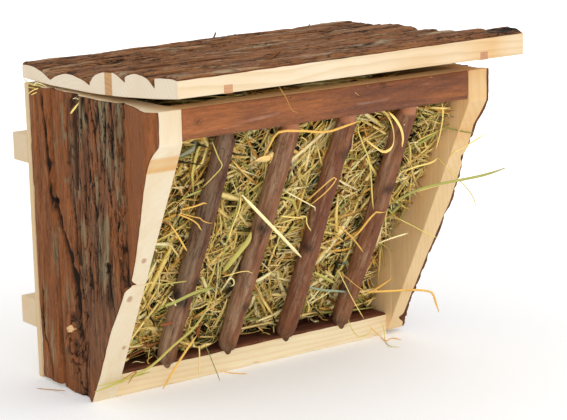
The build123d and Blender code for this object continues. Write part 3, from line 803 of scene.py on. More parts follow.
def grow_walls(piece, levels):
    """Extrude a sheet's border through the levels and close it. Returns the face count before each."""
    counts = []
    select_border(piece)
    for level in levels:
        counts.append(len(piece.data.polygons))
        bpy.ops.object.mode_set(mode="EDIT")
        bpy.ops.mesh.extrude_edges_move()
        done()
        chosen = read(piece, "select", 1, kind=bool)
        points = read(piece) / MM
        flat = kept(piece, "flat")[chosen] / MM
        points[chosen] = level(flat[:, 0], flat[:, 1])
        put(piece, points)
    bpy.ops.object.mode_set(mode="EDIT")
    bpy.ops.mesh.edge_face_add()
    bpy.ops.mesh.select_all(action="SELECT")
    bpy.ops.mesh.normals_make_consistent(inside=False)
    bpy.ops.mesh.select_all(action="DESELECT")
    done()
    return counts


BARK, CUT_BARK, SAWN = range(3)      # the order of a bark board's materials
BARK_REACH = 7.0             # how far in from its outline the bark is drawn in with its edge
CHIP_REACH = 0.5             # the same for the broken corner at the back


def bark_board(name, node, body, outline, place, skin, wood, finishes, step=0.75,
               recess=None, stain=None, chips=None, wrapped=None):
    """A board with bark on one face: bark skin, cut edge of the bark, sawn walls and a flat back.

    place(p, q, h) gives the point h above the board's sawn back, skin(p, q) the bark's marks with its
    height as relief, and wood(p, q) the height of the wood under it. recess(side, along) is how far the
    bark ends inside the outline, and chips(side, along) how far the sawn corner at the back is broken.
    wrapped(p) says where the bark runs on round the board's edge.
    """
    recess = recess or (lambda side, along: 0.15 + 0 * along)
    chips = chips or (lambda side, along: 0.3 + 0 * along)
    piece = flat_grid(outline, step)
    p, q = (read(piece) / MM)[:, :2].T
    marks = skin(p, q)
    height = marks.pop("relief")
    select_border(piece)
    border = read(piece, "select", 1, kind=bool)
    height[border] = np.maximum(height[border], wood(p[border], q[border]) + 0.25)
    put(piece, place(*outline.pulled(p, q, recess, BARK_REACH), height))
    marks["stain"] = stain(p, q) if stain else 0 * p
    for field, values in marks.items():
        keep(piece, field, values)

    def chip_height(p, q):
        return sum(chips(side, along) * (away < 0.1) for side, away, _, along in outline.sides(p, q))

    counts = grow_walls(piece, (
        lambda p, q: place(*outline.pulled(p, q, recess, BARK_REACH), wood(p, q)),
        lambda p, q: place(p, q, wood(p, q) - 0.05),
        lambda p, q: place(p, q, chip_height(p, q)),
        lambda p, q: place(*outline.pulled(p, q, chips, CHIP_REACH), 0 * p),
    ))
    index = np.full(len(piece.data.polygons), SAWN)
    index[:counts[0]] = BARK
    edge = slice(counts[0], counts[1])
    index[edge] = CUT_BARK
    if wrapped:
        corner = read(piece, "loop_start", 1, "polygons", int)[edge]
        first = read(piece, "vertex_index", 1, "loops", int)[corner]
        index[edge] = np.where(wrapped(kept(piece, "flat")[first, 0] / MM), BARK, CUT_BARK)
    piece.data.attributes.remove(piece.data.attributes["flat"])
    finish_piece(piece, name, body, finishes, [node], smooth=index == BARK)
    piece.data.polygons.foreach_set("material_index", index)
    return piece


def edge_drop(away):
    """How far a bark face falls near its outline."""
    return 0.7 * np.exp(-np.maximum(away, 0) / 0.7)


def arc_through(t, first, middle, last):
    """A crowned profile through its heights at 0, 0.5 and 1."""
    return first + (last - first) * t + (middle - (first + last) / 2) * 4 * t * (1 - t)


# ---- Side panels -----------------------------------------------------------------------

# Cracks of the left panel: (Y, Z) points, width and depth
LEFT_CRACKS = (
    (((51.9, 186), (51.6, 178), (50.2, 170), (48.8, 161), (47.8, 150), (47.3, 137), (47.0, 124),
      (46.7, 112)), 2.3, 2.4),
    (((44.3, 122), (43.6, 114), (41.2, 108), (38.2, 101), (34.2, 95.7), (26.0, 82)), 4.8, 3.0),
    (((43.4, 112), (38, 101), (32, 93), (27.6, 85), (27.0, 80), (25.0, 74), (24.1, 68), (22.7, 60),
      (22.1, 46)), 5.2, 3.0),
    (((-15.1, 184), (-15.6, 177), (-16.0, 170)), 1.2, 1.2),
    (((-5.4, 158), (-6.8, 145), (-7.2, 136), (-7.6, 127), (-6.8, 118), (-6.6, 109), (-5.9, 101), (-6.8, 91),
      (-7.2, 80)), 1.6, 2.0),
    (((-1.6, 170), (-1.2, 150), (-1.1, 135), (-1.4, 124)), 1.1, 1.3),
    (((-24.0, 174), (-25.9, 165), (-26.6, 153)), 1.2, 1.3),
    (((-30.6, 186), (-29.9, 173), (-29.4, 164)), 0.8, 0.8),
    (((-35.7, 186), (-35.2, 170), (-36.0, 154)), 0.8, 0.8),
    (((-21.6, 148), (-23.3, 136), (-25.0, 125)), 1.2, 1.3),
    (((-28.4, 138), (-30.7, 130), (-31.1, 121), (-30.1, 108)), 1.5, 1.6),
    (((-35.6, 143), (-37.0, 137), (-37.9, 131)), 0.8, 0.9),
    (((-35.6, 134), (-35.9, 124)), 0.8, 0.8),
    (((-15.5, 160), (-17.3, 149), (-18.8, 140)), 1.1, 1.1),
    (((-29.6, 96), (-31.3, 88), (-32.2, 81)), 1.0, 1.1),
    (((-18.7, 92), (-18.8, 76)), 1.1, 1.2),
    (((17.7, 86), (12.0, 81), (6.0, 76)), 1.0, 1.0),
    (((10.0, 66), (6.5, 55), (10.0, 44), (13.6, 34)), 1.3, 1.4),
    (((62.5, 62), (62.3, 53), (63.4, 40), (62.0, 30), (58.2, 21.5), (54.0, 13),
      (53.1, 3)), 1.7, 1.7),
    (((65.8, 50), (64.7, 36), (64.5, 26)), 1.1, 1.2),
    (((26.4, 21), (22.6, 7), (19.2, 1)), 1.4, 1.5),
    (((17.4, 23), (15.7, 12), (14.2, 1)), 1.7, 1.6),
)
RIGHT_CRACKS = (
    (((-60, 150), (-55, 120), (-50, 100)), 1.3, 1.6),
    (((-20, 180), (-14, 140), (-18, 100), (-10, 60)), 1.6, 1.9),
    (((20, 186), (24, 140), (20, 90), (26, 40), (22, 4)), 1.5, 1.8),
    (((48, 185), (44, 150), (50, 110), (46, 70)), 1.2, 1.5),
    (((58, 90), (54, 50), (60, 5)), 1.3, 1.5),
    (((-2, 90), (4, 60), (0, 20)), 1.2, 1.5),
)
KNOT_Y, KNOT_Z, KNOT_RADIUS = 31.0, 40.0, 6.5      # the sawn branch on the left panel
STUB_THICKNESS = 6.0
STUB_REACH = 12.8            # the stub's middle from the inside of the left panel

# Pits round the sawn branch, painted black as shade: Y, Z and half width
KNOT_PITS = (
    (21.0, 45.5, 2.0), (22.5, 40.0, 1.6), (27.5, 31.5, 2.6), (34.0, 28.0, 1.8), (9.0, 53.0, 2.2),
    (16.0, 24.0, 2.4))
# Grey and beige growth on the left panel: Y, Z, half width, half height and strength
LEFT_LICHEN = (
    (21.8, 148, 1.7, 17, 1.3), (25.5, 161, 3.6, 3.6, 0.9), (27.5, 133.5, 3.0, 2.6, 1.0),
    (-18.7, 172, 2.4, 8, 0.7), (-12.0, 148, 2.2, 8, 0.7), (-10.2, 118, 2.2, 20, 0.8),
    (2.0, 127, 1.8, 10, 0.5), (-21.0, 90, 8.0, 20, 0.6), (33.5, 64, 2.6, 12, 0.7),
    (57.0, 55, 2.0, 10, 0.6), (2.0, 165, 4.0, 20, 0.35), (-24.0, 160, 4.0, 18, 0.4),
    (46.0, 86, 0.6, 9, 0.9), (29.5, 175, 0.6, 7, 0.9), (59.8, 166, 0.6, 6, 0.7), (10.0, 100, 2.4, 22, 0.3),
)
# Smooth troughs of the left panel, darkened as painted shade: (Y, Z) line and half width
LEFT_TROUGHS = (
    (((16.4, 190), (15.9, 165), (15.8, 150), (16.4, 133)), 4.1),
    (((14.4, 121), (15.1, 106), (16.7, 95), (18.8, 85)), 2.8),
)


def left_bark(p, q):
    """Marks of the left panel's bark."""
    smooth = ease(-p + 1.5 * swell(q / 9, p / 9, 71), 34.0, 38.0) * ease(q, 77, 79)
    low_front = ease(-p, -12, -4) * (1 - ease(q, 60, 80)) * (1 - smooth)
    rear = ease(p, 20, 30)
    torn = spot((p - 13, 7), (q - 124, 8))
    trough = 0 * p
    for path, half in LEFT_TROUGHS:
        away, _ = polyline_distance(p + 0.6 * swell(q / 8, p / 4, 72), q, path)
        trough = np.maximum(trough, 1 - ease(away, half * 0.8, half * 1.1))
    dp, dq = p - KNOT_Y, (q - KNOT_Z) / 1.7
    grain = KNOT_Y + dp * (1 - np.minimum(KNOT_RADIUS**2 / (dp**2 + dq**2 + 6), 0.9))
    rough = (1.4 - 1.2 * smooth - 0.85 * low_front - 0.7 * rear + 0.9 * torn) * (1 - 0.9 * trough)
    cracks = (1.0 - 0.9 * smooth - 0.6 * low_front - 0.75 * rear + 0.9 * torn) * (1 - 0.95 * trough)
    marks = bark_marks(grain, q, 11, np.maximum(rough, 0.1), np.maximum(cracks, 0.03))
    marks["relief"] = marks["relief"] - 1.7 * trough + 0.4 * rear * swell(p / 7, q / 70, 73)
    for number, (path, width, depth) in enumerate(LEFT_CRACKS):
        add_crack(marks, p, q, path, width, depth, 30 + number)
    for y, z, half_wide, half_high, strength in LEFT_LICHEN:
        here = spot((p - y, half_wide), (q - z, half_high))
        marks["lichen"] += strength * here * (1 - trough)
    faded = 1 - 1.6 * ease(-p, 17, 25) * ease(-q, -160, -130)
    middle = ease(-p, -14, -6) * (1 - smooth) * ease(q, 52, 84) * faded
    marks["lichen"] = marks["lichen"] + 0.2 * middle - 0.9 * smooth + 0.1 * rear - 1.2 * trough
    marks["tone"] = marks["tone"] + 0.9 * smooth + 0.6 * rear - 0.15 * middle - 0.4 * low_front
    ring = np.hypot(p - KNOT_Y + 3, (q - KNOT_Z + 5) / 1.5)
    turn = np.arctan2(q - KNOT_Z + 5, p - KNOT_Y + 3)
    collar = spot((ring - 7.5, 5))
    swirl = ease(swell(ring / 2.0 + 0.8 * swell(p / 4, q / 5, 77), turn * 1.5, 78), -0.15, 0.35)
    # a hollow beside the knot, sunk and darkened as painted shade
    hollow = spot((p - KNOT_Y + 9, 4), (q - KNOT_Z, 5))
    marks["relief"] = marks["relief"] + 1.6 * collar * (0.5 - swirl) - 1.2 * spot((ring, 5)) - 1.8 * hollow
    pits = sum(spot((p - y, size), ((q - z) / size, 1.4)) for y, z, size in KNOT_PITS)
    knot = np.maximum(0.9 * collar * swirl, np.maximum(hollow, pits))
    # the troughs, the hollow and the pits are darkened as painted shade; the swirl round the knot is its own
    # dark grain
    marks["dark"] = np.clip(np.maximum(marks["dark"], knot) + 0.8 * trough, 0, 1)
    marks["dark"] = np.maximum(marks["dark"], smooth * (0.07 + 0.1 * swell(p / 2.4, q / 22, 79)))
    marks["crag"] *= (1 - 0.7 * trough)
    return marks


def right_bark(p, q):
    """Marks of the right panel's bark."""
    marks = bark_marks(p, q, 111)
    for number, (path, width, depth) in enumerate(RIGHT_CRACKS):
        add_crack(marks, p, q, path, width, depth, 130 + number)
    marks["lichen"] += 0.2
    return marks


def side_slab(side, place_name):
    """One upright bark slab of a side panel."""
    node = f"{side}_side_{place_name}_slab"
    outline = Outline(span(node, 1), span(node, 2), leans=True)
    left = side == "left"
    out, inner_x = (-1, LEFT_IN) if left else (1, RIGHT_IN)

    def place(p, q, h):
        return np.stack([inner_x + out * h, p, q], 1)

    face = SolidFace(node, outline, place)

    def skin(p, q):
        marks = (left_bark if left else right_bark)(p, q)
        proud = np.clip(0.85 * marks["relief"], -2.1, 1.3) + (0.0 if left else 0.8)
        marks["relief"] = face(p, q) + proud - (1.0 if left else 0.5) * edge_drop(outline.distance(p, q))
        return marks

    seams = [seam for seam, end in zip(outline.p_range, ("front", "rear")) if place_name != end]

    def wood(p, q):
        under = sum(4.5 * spot((p - seam, 1.2)) for seam in seams)
        return face(p, q) - (1.5 if left else 1.9) + 0.25 * swell(q / 9, p / 9, 5) - under

    def wrapped(p):
        return sum(np.abs(p - seam) < 0.3 for seam in seams) > 0

    def recess(edge, along):
        ragged = 0.25 + 0.15 * ripple(along, 5, 51)
        if edge == "rear" and place_name == "rear":
            ragged = ragged + 1.4 + 1.0 * ripple(along, 17, 52)
            ragged = ragged + 0.5 * ripple(along, 6, 53) + 1.2 * (1 - ease(along, 20, 90))
        if edge == "front" and not left:
            ragged = ragged + 0.6 * ease(ripple(along, 6, 57), 0.0, 0.5)
            ragged = ragged + 2.2 * spot((along - 127, 9))
        return np.maximum(ragged, 0.12)

    def stain(p, q):
        seam = spot((outline.distance(p, 0 * p + 90), 0.5)) * (place_name == "middle")
        if not left:
            return 0.55 * ease(q, 128, 150) * (0.6 + 0.4 * swell(q / 12, p / 12, 61))
        ragged = q + 0.8 * swell(q / 5, p / 1.5, 62)
        resin = ease(ragged, 151.0, 153.5) * (1 - ease(ragged, 159.0, 161.5))
        return resin * (0.7 + 0.35 * swell(p / 3.5, q / 7, 92)) + 0.4 * seam + 0.1 * ease(q, 165, 176)

    bark_board(f"{side}_{place_name}_bark_slab", node, "box", outline, place, skin, wood,
               ("bark_upright", "bark_cut", "sawn_upright" if left else "sawn_upright_right"),
               step=0.6 if left else 0.85, recess=recess, stain=stain, wrapped=wrapped)


def branch_stub():
    """The sawn-off branch in the left panel's bark."""
    stub = form("cylinder", vertices=32, radius=KNOT_RADIUS * MM, depth=STUB_THICKNESS * MM)
    edit(stub)
    bpy.ops.mesh.bevel(offset=0.6 * MM, segments=3, affect="EDGES", clamp_overlap=True)
    done()
    x, y, z = (read(stub) / MM).T
    uneven = 1 + 0.4 * swell(np.arctan2(y, x) * 1.2, 0 * x, 81)
    # squeezed to a low oval and turned to face left, lower at its front
    reach = LEFT_IN - STUB_REACH + 0.5 * y / KNOT_RADIUS - 0.9 * x / KNOT_RADIUS - z
    put(stub, np.stack([reach, KNOT_Y + 0.55 * x * uneven, KNOT_Z + 1 + 0.36 * y * uneven - 0.16 * x], 1))
    keep(stub, "stain", 0.55 + 0 * x)
    face_outwards(stub)
    finish_piece(stub, "left_branch_stub", "box", ["stub_wood"])


# ---- Rail and floor --------------------------------------------------------------------


def front_rail():
    """The rail over the bars, with smooth bark on its front."""
    outline = Outline(RAIL_Z, RAIL_X)
    depth = RAIL_Y[1] - RAIL_Y[0]

    def place(p, q, h):
        return np.stack([q, RAIL_Y[1] - h, p], 1)

    def skin(p, q):
        marks = bark_marks(p, q, 201, 0.28, 0.14)
        peeled = (1 - ease(q + 3 * swell(p / 3, q / 20, 202), -80, -62)) * ease(p, 172, 175)
        right = ease(q, -40, 60)
        scuff = spot((p - 176 - 0.02 * (q - 27), 0.8)) * ease(q, 12, 16) * ease(-q, -42, -38)
        scuff = scuff + spot((p - 182.4, 0.6)) * ease(q, 64, 66) * ease(-q, -72, -70)
        for x, z, size in ((-98.2, 179, 3.2), (34.9, 185, 2.6)):
            knot = np.exp(-((q - x) ** 2 + (1.3 * (p - z)) ** 2) / size**2)
            marks["relief"] += 0.5 * knot
            grain = ease(swell(q / 1.6, p / 1.2, 203), -0.5, 0.3)
            marks["dark"] = np.maximum(marks["dark"], 0.75 * knot * grain)
        away, _ = polyline_distance(p, q, ((172, -82), (175.5, -62), (177, -42)))
        marks["lichen"] = marks["lichen"] + 0.9 * scuff + 0.5 * (1 - ease(away, 0.4, 1.4)) - 0.2 * right
        marks["tone"] = 0.55 + 0.6 * (marks["tone"] - 0.5) + 0.7 * peeled - 0.35 * right
        crown = arc_through((p - RAIL_Z[0]) / (RAIL_Z[1] - RAIL_Z[0]), -0.5, 0.0, -0.5)
        marks["relief"] = depth + crown + 0.5 * marks["relief"] - 1.2 * edge_drop(outline.distance(p, q))
        return marks

    bark_board("bark_rail", "top_rail", "box", outline, place, skin,
               lambda p, q: depth - 1.9 + 0.15 * swell(q / 12, p / 12, 205),
               ("rail_bark", "bark_cut", "sawn_lengthwise"), step=0.8, stain=lambda p, q: 0.45 + 0 * p)


def floor_slab():
    """The floor board, bark side up, with a rough lower edge in front."""
    outline = Outline(FLOOR_Y, RAIL_X)

    def place(p, q, h):
        return np.stack([q, p, h], 1)

    def skin(p, q):
        marks = bark_marks(p, q, 221, 0.35, 0.25)
        marks["relief"] = FLOOR_TOP + 0.5 * marks["relief"] - 0.3 - edge_drop(outline.distance(p, q))
        marks["lichen"] -= 0.2
        return marks

    def chips(side, along):
        if side != "front":
            return 0.3 + 0 * along
        broken = ease(ripple(along, 9, 223), 0.05, 0.6)
        broken = broken + 0.6 * ease(ripple(along, 3, 224), 0.1, 0.7)
        return 0.35 + 1.3 * broken * (0.4 + 0.6 * ease(along, -90, -10))

    bark_board("bark_floor", "floor_board", "box", outline, place, skin,
               lambda p, q: FLOOR_TOP - 2.2 + 0.3 * swell(q / 14, p / 14, 225),
               ("floor_bark", "bark_cut", "sawn_floor"), step=1.0, chips=chips,
               recess=lambda side, along: 0.5 + 0.4 * ripple(along, 8, 226),
               stain=lambda p, q: 0.03 + 0.03 * swell(q / 30, 0 * q, 227))


# ---- Sawn boards -----------------------------------------------------------------------


BOARD_CUTS = 60
CLEAT_CUTS = 40
CORE_CUTS = 47


def sawn_board(name, node, finish, along, edge=0.5):
    """A sawn board that fills its node's box, with broken corners and slightly wavy faces."""
    low, high = (np.array(v) for v in zip(*(span(node, axis) for axis in range(3))))
    middle = (low + high) / 2
    board = form("cube", size=1)
    put(board, middle + read(board) * (high - low))
    edit(board)
    bpy.ops.mesh.bevel(offset=edge * MM, segments=2, affect="EDGES")
    done()
    split_lengthwise(board, along, BOARD_CUTS)
    points = read(board) / MM
    for axis in range(3):
        if axis != along:
            side = np.sign(points[:, axis] - middle[axis])
            line = side * 3 + axis
            wave = swell(points[:, along] / 28, line, 241) + 0.6 * swell(points[:, along] / 7, line, 242)
            points[:, axis] -= side * 0.14 * (1 + wave)
    put(board, points)
    keep(board, "stain", 0.1 + 0 * points[:, 0])
    finish_piece(board, name, "box", [finish], [node], smooth=False)


# ---- Bars ------------------------------------------------------------------------------

# Distance along a bar from the floor's top, and radius
BAR_RADII = ((-8, 3.9), (-0.2, 4.0), (0.1, 4.9), (1.6, 5.8), (5.5, 6.3), (90, 6.35), (165.4, 6.2),
             (168.4, 4.6), (179.3, 3.9))
# Each bar's bend across and forward and its turn, then its tone, growth and shaved length at the top
BAR_CROOKS = ((0.5, -0.4, 0.9), (0.7, 0.5, 1.6), (-0.6, 0.5, 0.6), (0.5, -0.6, 2.4))
BAR_MARKS = ((0.10, 0.45, 0), (0.35, 0.30, 2), (0.0, 0.05, 2), (0.20, 0.10, 2.4))
BAR_SIDES, BAR_CUTS = 72, 100
BAR_KNOTS = 5
BAR_CLEARANCE = 6.9          # how far from a bar's axis the hay keeps


def branch_bar(index):
    """One branch bar with its bark, its whittled ends and the small bends it grew with."""
    bar = form("cylinder", vertices=BAR_SIDES, radius=1, depth=1)
    split_lengthwise(bar, 2, BAR_CUTS)
    unit = read(bar)
    foot, axis, length = bar_line(index)
    forward = np.array([0, -1, 0]) + axis[1] * axis
    forward /= np.linalg.norm(forward)
    across = np.cross(forward, axis)
    (low, _), (high, _) = BAR_RADII[0], BAR_RADII[-1]
    t = low + (unit[:, 2] + 0.5) * (high - low)
    # the whittled ends have wavy borders, and the bark stops there
    turn = np.arctan2(unit[:, 1], unit[:, 0])
    ragged = 1.2 * swell(turn * 1.3, 0 * turn + index, 261)
    radius = np.interp(t + 0.6 * ragged, *zip(*BAR_RADII))
    whole = ease(t, 1, 9) * ease(-t, -168, -161)
    girth = radius * turn
    bark = 0.28 * swell(t / 22, turn / 1.2, 262 + index) + 0.07 * swell(t / 16, girth / 3, 266 + index)
    bark = bark + 0.03 * swell(t / 5, girth / 1.4, 270 + index)
    knots = np.zeros(len(t))
    for number in range(BAR_KNOTS):
        at, side = 18 + 150 * scatter(np.array([number]), np.array([index]), 5)[0], number * 2.4 + index
        knots += spot((t - at, 4), (np.cos(turn - side) - 1, 0.25))
    reach = radius + whole * (0.95 * bark + 0.8 * knots - 0.1)
    sway, push, phase = BAR_CROOKS[index]
    bend = whole * np.sin((t / length) * 2 * pi * 0.9 + phase)
    points = (foot + np.outer(t, axis) + np.outer(reach * np.cos(turn) + sway * bend, across)
              + np.outer(reach * np.sin(turn) + push * bend * 0.6, forward))
    put(bar, points)
    tone, lichen, shaved = BAR_MARKS[index]
    low = 1 - ease(t, 2, 14)
    base = 0.45 * ease(t, 20, 110) if index == 0 else 0.0
    # dark: the knots, painted shade in the bark's hollows, bar 1 darker towards the top and every bar darker
    # near its foot
    keep(bar, "dark", np.clip(base + 0.7 * knots + 0.5 * ease(-bark, 0.18, 0.4) + 0.35 * low, 0, 1))
    # grey mix of the bar: its lichen and growth, and a painted sheen down one side of each bar
    keep(bar, "lichen", lichen + 0.8 * bark + 0.5 * ease(np.cos(turn - 0.4), 0.2, 0.9) - 0.2)
    keep(bar, "tone", tone + 0.5 * swell(t / 16, turn, 275 + index) + 0.3)
    keep(bar, "crag", 0.55 + 0 * t)
    keep(bar, "shaved", ease(t + ragged, 169.4 - shaved, 169.9 - shaved) * (shaved > 0))
    face_outwards(bar)
    finish_piece(bar, f"branch_bar_{index + 1}", "box", ["branch_bark"], [BARS[index]],
                 smooth=read(bar, "loop_total", 1, "polygons", int) == 4)


# ---- Lid -------------------------------------------------------------------------------


def lid_board(number, node):
    """One board of the lid: a bark slab, or the filler strip between two of them."""
    front, rear = span(node, 1)
    outline = Outline((front, rear), LID_X)
    under_front, under_rear = lid_underside(front), lid_underside(rear)
    filler = node == "lid_filler_strip"

    def place(p, q, h):
        chord = under_rear + (rear - p) / (rear - front) * (under_front - under_rear)
        return np.stack([q, p, chord + h], 1)

    face = SolidFace(node, outline, place)

    def skin(p, q):
        marks = bark_marks(p / 1.15, q / 1.3, 300 + 20 * number, 0.5 if filler else 1.35, 1.0)
        marks["dark"] = 0.95 * marks["dark"]
        worn = ease(swell(p / 12, q / 55, 310 + number), -0.1, 0.5)
        marks["lichen"] = marks["lichen"] + 0.3 * worn - 0.05
        drop = (0.3 if filler else 1.2) * edge_drop(outline.distance(p, q))
        marks["relief"] = face(p, q) + np.clip(0.9 * marks["relief"], -2.2, 1.4) - drop
        return marks

    def recess(side, along):
        ragged = 0.3 + 0.2 * ripple(along, 6, 320 + number)
        if node == "lid_slab_6" and side == "front":
            ragged = ragged + 0.7 * ease(ripple(along, 15, 331), -0.1, 0.6)
        return np.maximum(ragged, 0.12)

    def stain(p, q):
        if node != "lid_slab_6":
            return 0.06 + 0 * p
        patch = ease(q, 76, 92) * (1 - ease(q, 108, 122)) * (0.6 + 0.4 * swell(q / 9, p / 9, 335))
        return 0.04 + 0.22 * ease(q, -30, 60) + 0.4 * patch

    bark_board(
        "lid_filler" if filler else f"lid_bark_slab_{number}", node, "lid",
        outline, place, skin,
        lambda p, q: face(p, q) - 1.4 + 0.2 * swell(q / 10, p / 10, 333),
        ("bark_lengthwise", "bark_cut", "filler_wood" if filler else "sawn_lengthwise"),
        step=0.7, recess=recess, stain=stain)


def lid_cleat(side):
    """One of the two strips let into the lid's underside, a hair proud of the slabs."""
    node = f"lid_cleat_{side}"
    x0, x1 = span(node, 0)
    y0, y1 = span(node, 1)
    rise = CLEAT_HEIGHT + CLEAT_PROUD
    cleat = form("cube", size=1)
    split_lengthwise(cleat, 1, CLEAT_CUTS)
    unit = read(cleat) + 0.5
    y = y0 - CLEAT_PROUD + unit[:, 1] * (y1 - y0 + 2 * CLEAT_PROUD)
    z = lid_underside(y) - CLEAT_PROUD - 0.1 + unit[:, 2] * rise
    put(cleat, np.stack([x0 + unit[:, 0] * (x1 - x0), y, z], 1))
    finish_piece(cleat, f"sawn_cleat_{side}", "lid", ["cleat_wood"], [node], smooth=False)


SLIVER_RINGS = 9
ABOVE_LID = 300
# Bark slivers that stand up from the lid: where they start, how far they reach and their width
SLIVERS = (
    ((19, 77, 0), (3, 0, 4.2), 1.1), ((31, 77, 0), (7, 0.5, 1.8), 1.3), ((-40, -62, 0), (11, -3, 6.0), 1.9),
    ((95, 77, 0), (5, 1, 1.5), 1.2), ((84, -40, 0), (4, 0, 3.2), 1.0), ((-70, 30, 0), (6, 2, 1.6), 1.2),
    ((60, 10, 0), (5, -1, 1.9), 1.0), ((20, -20, 0), (6, 1, 1.4), 1.2), ((-20, 52, 0), (7, -2, 1.8), 1.3),
)


def lid_slivers():
    """Thin curls of bark that have come loose on the lid."""
    rng = np.random.default_rng(21)
    shape = stalk_shape(4, SLIVER_RINGS)
    tree = lid_surface()
    paths = []
    for start, reach, _ in SLIVERS:
        foot = Vector((start[0] + MIDDLE_X, start[1] - 1.0, ABOVE_LID)) * MM
        top = tree.ray_cast(foot, Vector((0, 0, -1)))[0] / MM
        t = np.linspace(0, 1, SLIVER_RINGS)[:, None]
        lift = np.array([1, 1, 0]) * t + np.array([0, 0, 1]) * t**1.8
        paths.append(np.array(top) - np.array([0, 0, 0.5]) + np.array(reach) * lift)
    widths = np.array([width for *_, width in SLIVERS], float)
    stalk_bundle("lid_bark_slivers", np.array(paths), widths, 0 * widths + 0.5, 0 * widths + 0.5,
                 shape, rng, finish="bark_lengthwise", body="lid")


def lid_surface():
    """The lid's bark tops, to find heights on."""
    points, faces = [], []
    for name in (*(f"lid_bark_slab_{number + 1}" for number in range(len(LID_SLABS))), "lid_filler"):
        piece = bpy.data.objects[name]
        base = len(points)
        points += [v.co.copy() for v in piece.data.vertices]
        faces += [[base + v for v in f.vertices] for f in piece.data.polygons]
    return BVHTree.FromPolygons(points, faces)


# ---- Hay -------------------------------------------------------------------------------

HAY_MIX = {"straw": 0.34, "cream": 0.28, "pale_green": 0.12, "yellow_green": 0.07, "green": 0.04,
           "dull_green": 0.03, "golden": 0.16, "golden_brown": 0.04, "rust": 0.02, "blue_green": 0.01}
STRAW_MIX = {"straw": 0.42, "cream": 0.28, "golden": 0.2, "pale_green": 0.1}
# Colours of the stalks deeper in, darker as painted shade
HAY_DEEP_MIX = {"olive": 0.46, "dull_green": 0.20, "golden_brown": 0.16, "green": 0.08, "rust": 0.05,
                "golden": 0.05}
HAY_SEED = 863
WALL_ROOM = 0.9              # loose stalks keep this far from the walls
CORE_ROOM = 0.6              # and the dark core this far
HAY_CEILING = 186.0          # loose stalks stay below this height
LAYER_RINGS = 6              # places along a loose stalk
LONG_RINGS = 18              # and along a long listed one


def hay_front(x, z):
    """Y of the hay's front, behind the leaning edge and swelling out between the bars."""
    depth = 18.5 + 4.2 * swell(x / 26, z / 24, 401) + 3.2 * swell(x / 11, z / 12, 402)
    for index in range(len(BARS)):
        bar_x, _ = bar_axis(index, z)
        depth = depth + 2.2 * spot((x - bar_x, 8))
    low = ease(-z, -84, -66) * ease(z, 26, 46)
    right, left = x - MIDDLE_X, MIDDLE_X - x
    depth = depth + ease(right, 75, 97) * (1.5 + 11 * low) - 6 * ease(right, 66, 88) * ease(z, 84, 118)
    depth = depth - (4.5 + 8 * ease(left, 38, 82)) * ease(-z, -30, -10) * ease(left, -60, -20)
    return np.maximum(edge_y(z) + depth, RAIL_Y[1] + 1.5)


def hay_top(x, y):
    """Height of the hay."""
    rise = 20.0 * ease(RAIL_Y[1] + 40 - y, 0, 24) * ease(x, -90, -60) * ease(-x, -80, -40)
    return 166.0 + rise + 4.5 * swell(x / 30, y / 26, 411) + 2.0 * swell(x / 12, y / 12, 412)


def settle(points, front_slack=0.0):
    """Push stalk points out of the walls and the bars and back behind the hay's front."""
    x, y, z = (points[..., k] for k in range(3))
    x = np.clip(x, LEFT_IN + WALL_ROOM, RIGHT_IN - WALL_ROOM)
    z = np.clip(z, FLOOR_TOP + 1.0, HAY_CEILING)
    least = np.minimum(hay_front(x, z) - 2.0, edge_y(z) + 9.0) - front_slack
    y = np.clip(y, np.maximum(least, edge_y(z) + 1.5), BACK_IN - WALL_ROOM)
    return clear_of_bars(np.stack([x, y, z], -1), 1.1)


def slide_in(paths, front_slack):
    """Move whole stalks back from the hay's front and in from the walls, so that they stay straight."""
    paths = paths.copy()
    for low, high, axis in ((LEFT_IN + 1, RIGHT_IN - 1, 0), (FLOOR_TOP + 1.5, HAY_CEILING, 2)):
        over = np.maximum(low - paths[..., axis], 0).max(1)
        over = over - np.maximum(paths[..., axis] - high, 0).max(1)
        paths[..., axis] += np.clip(over, -25, 25)[:, None]
    short = hay_front(paths[..., 0], paths[..., 2]) - front_slack - paths[..., 1]
    paths[..., 1] += np.clip(short.max(1), 0, 9)[:, None]
    return paths


def clear_of_bars(points, room):
    """Push points straight away from any bar that they are inside of."""
    points = points.copy()
    for index in range(len(BARS)):
        foot, axis, _ = bar_line(index)
        offset = points - foot
        offset = offset - (offset @ axis)[..., None] * axis
        away = np.maximum(np.linalg.norm(offset, axis=-1, keepdims=True), 1e-3)
        points = points + offset / away * np.maximum(BAR_CLEARANCE + room - away, 0)
    return points


def stalk_shape(sides, rings):
    """The shape that every stalk is bent from: places along and around it, and its faces."""
    shape = form("cylinder", vertices=sides, radius=1, depth=1)
    split_lengthwise(shape, 2, rings - 2)
    edit(shape)
    bpy.ops.mesh.quads_convert_to_tris()
    done()
    unit = read(shape)
    ring = np.round((unit[:, 2] + 0.5) * (rings - 1)).astype(int)
    faces = read(shape, "vertices", 3, "polygons", int)
    bpy.data.objects.remove(shape)
    return ring, unit[:, :2], faces


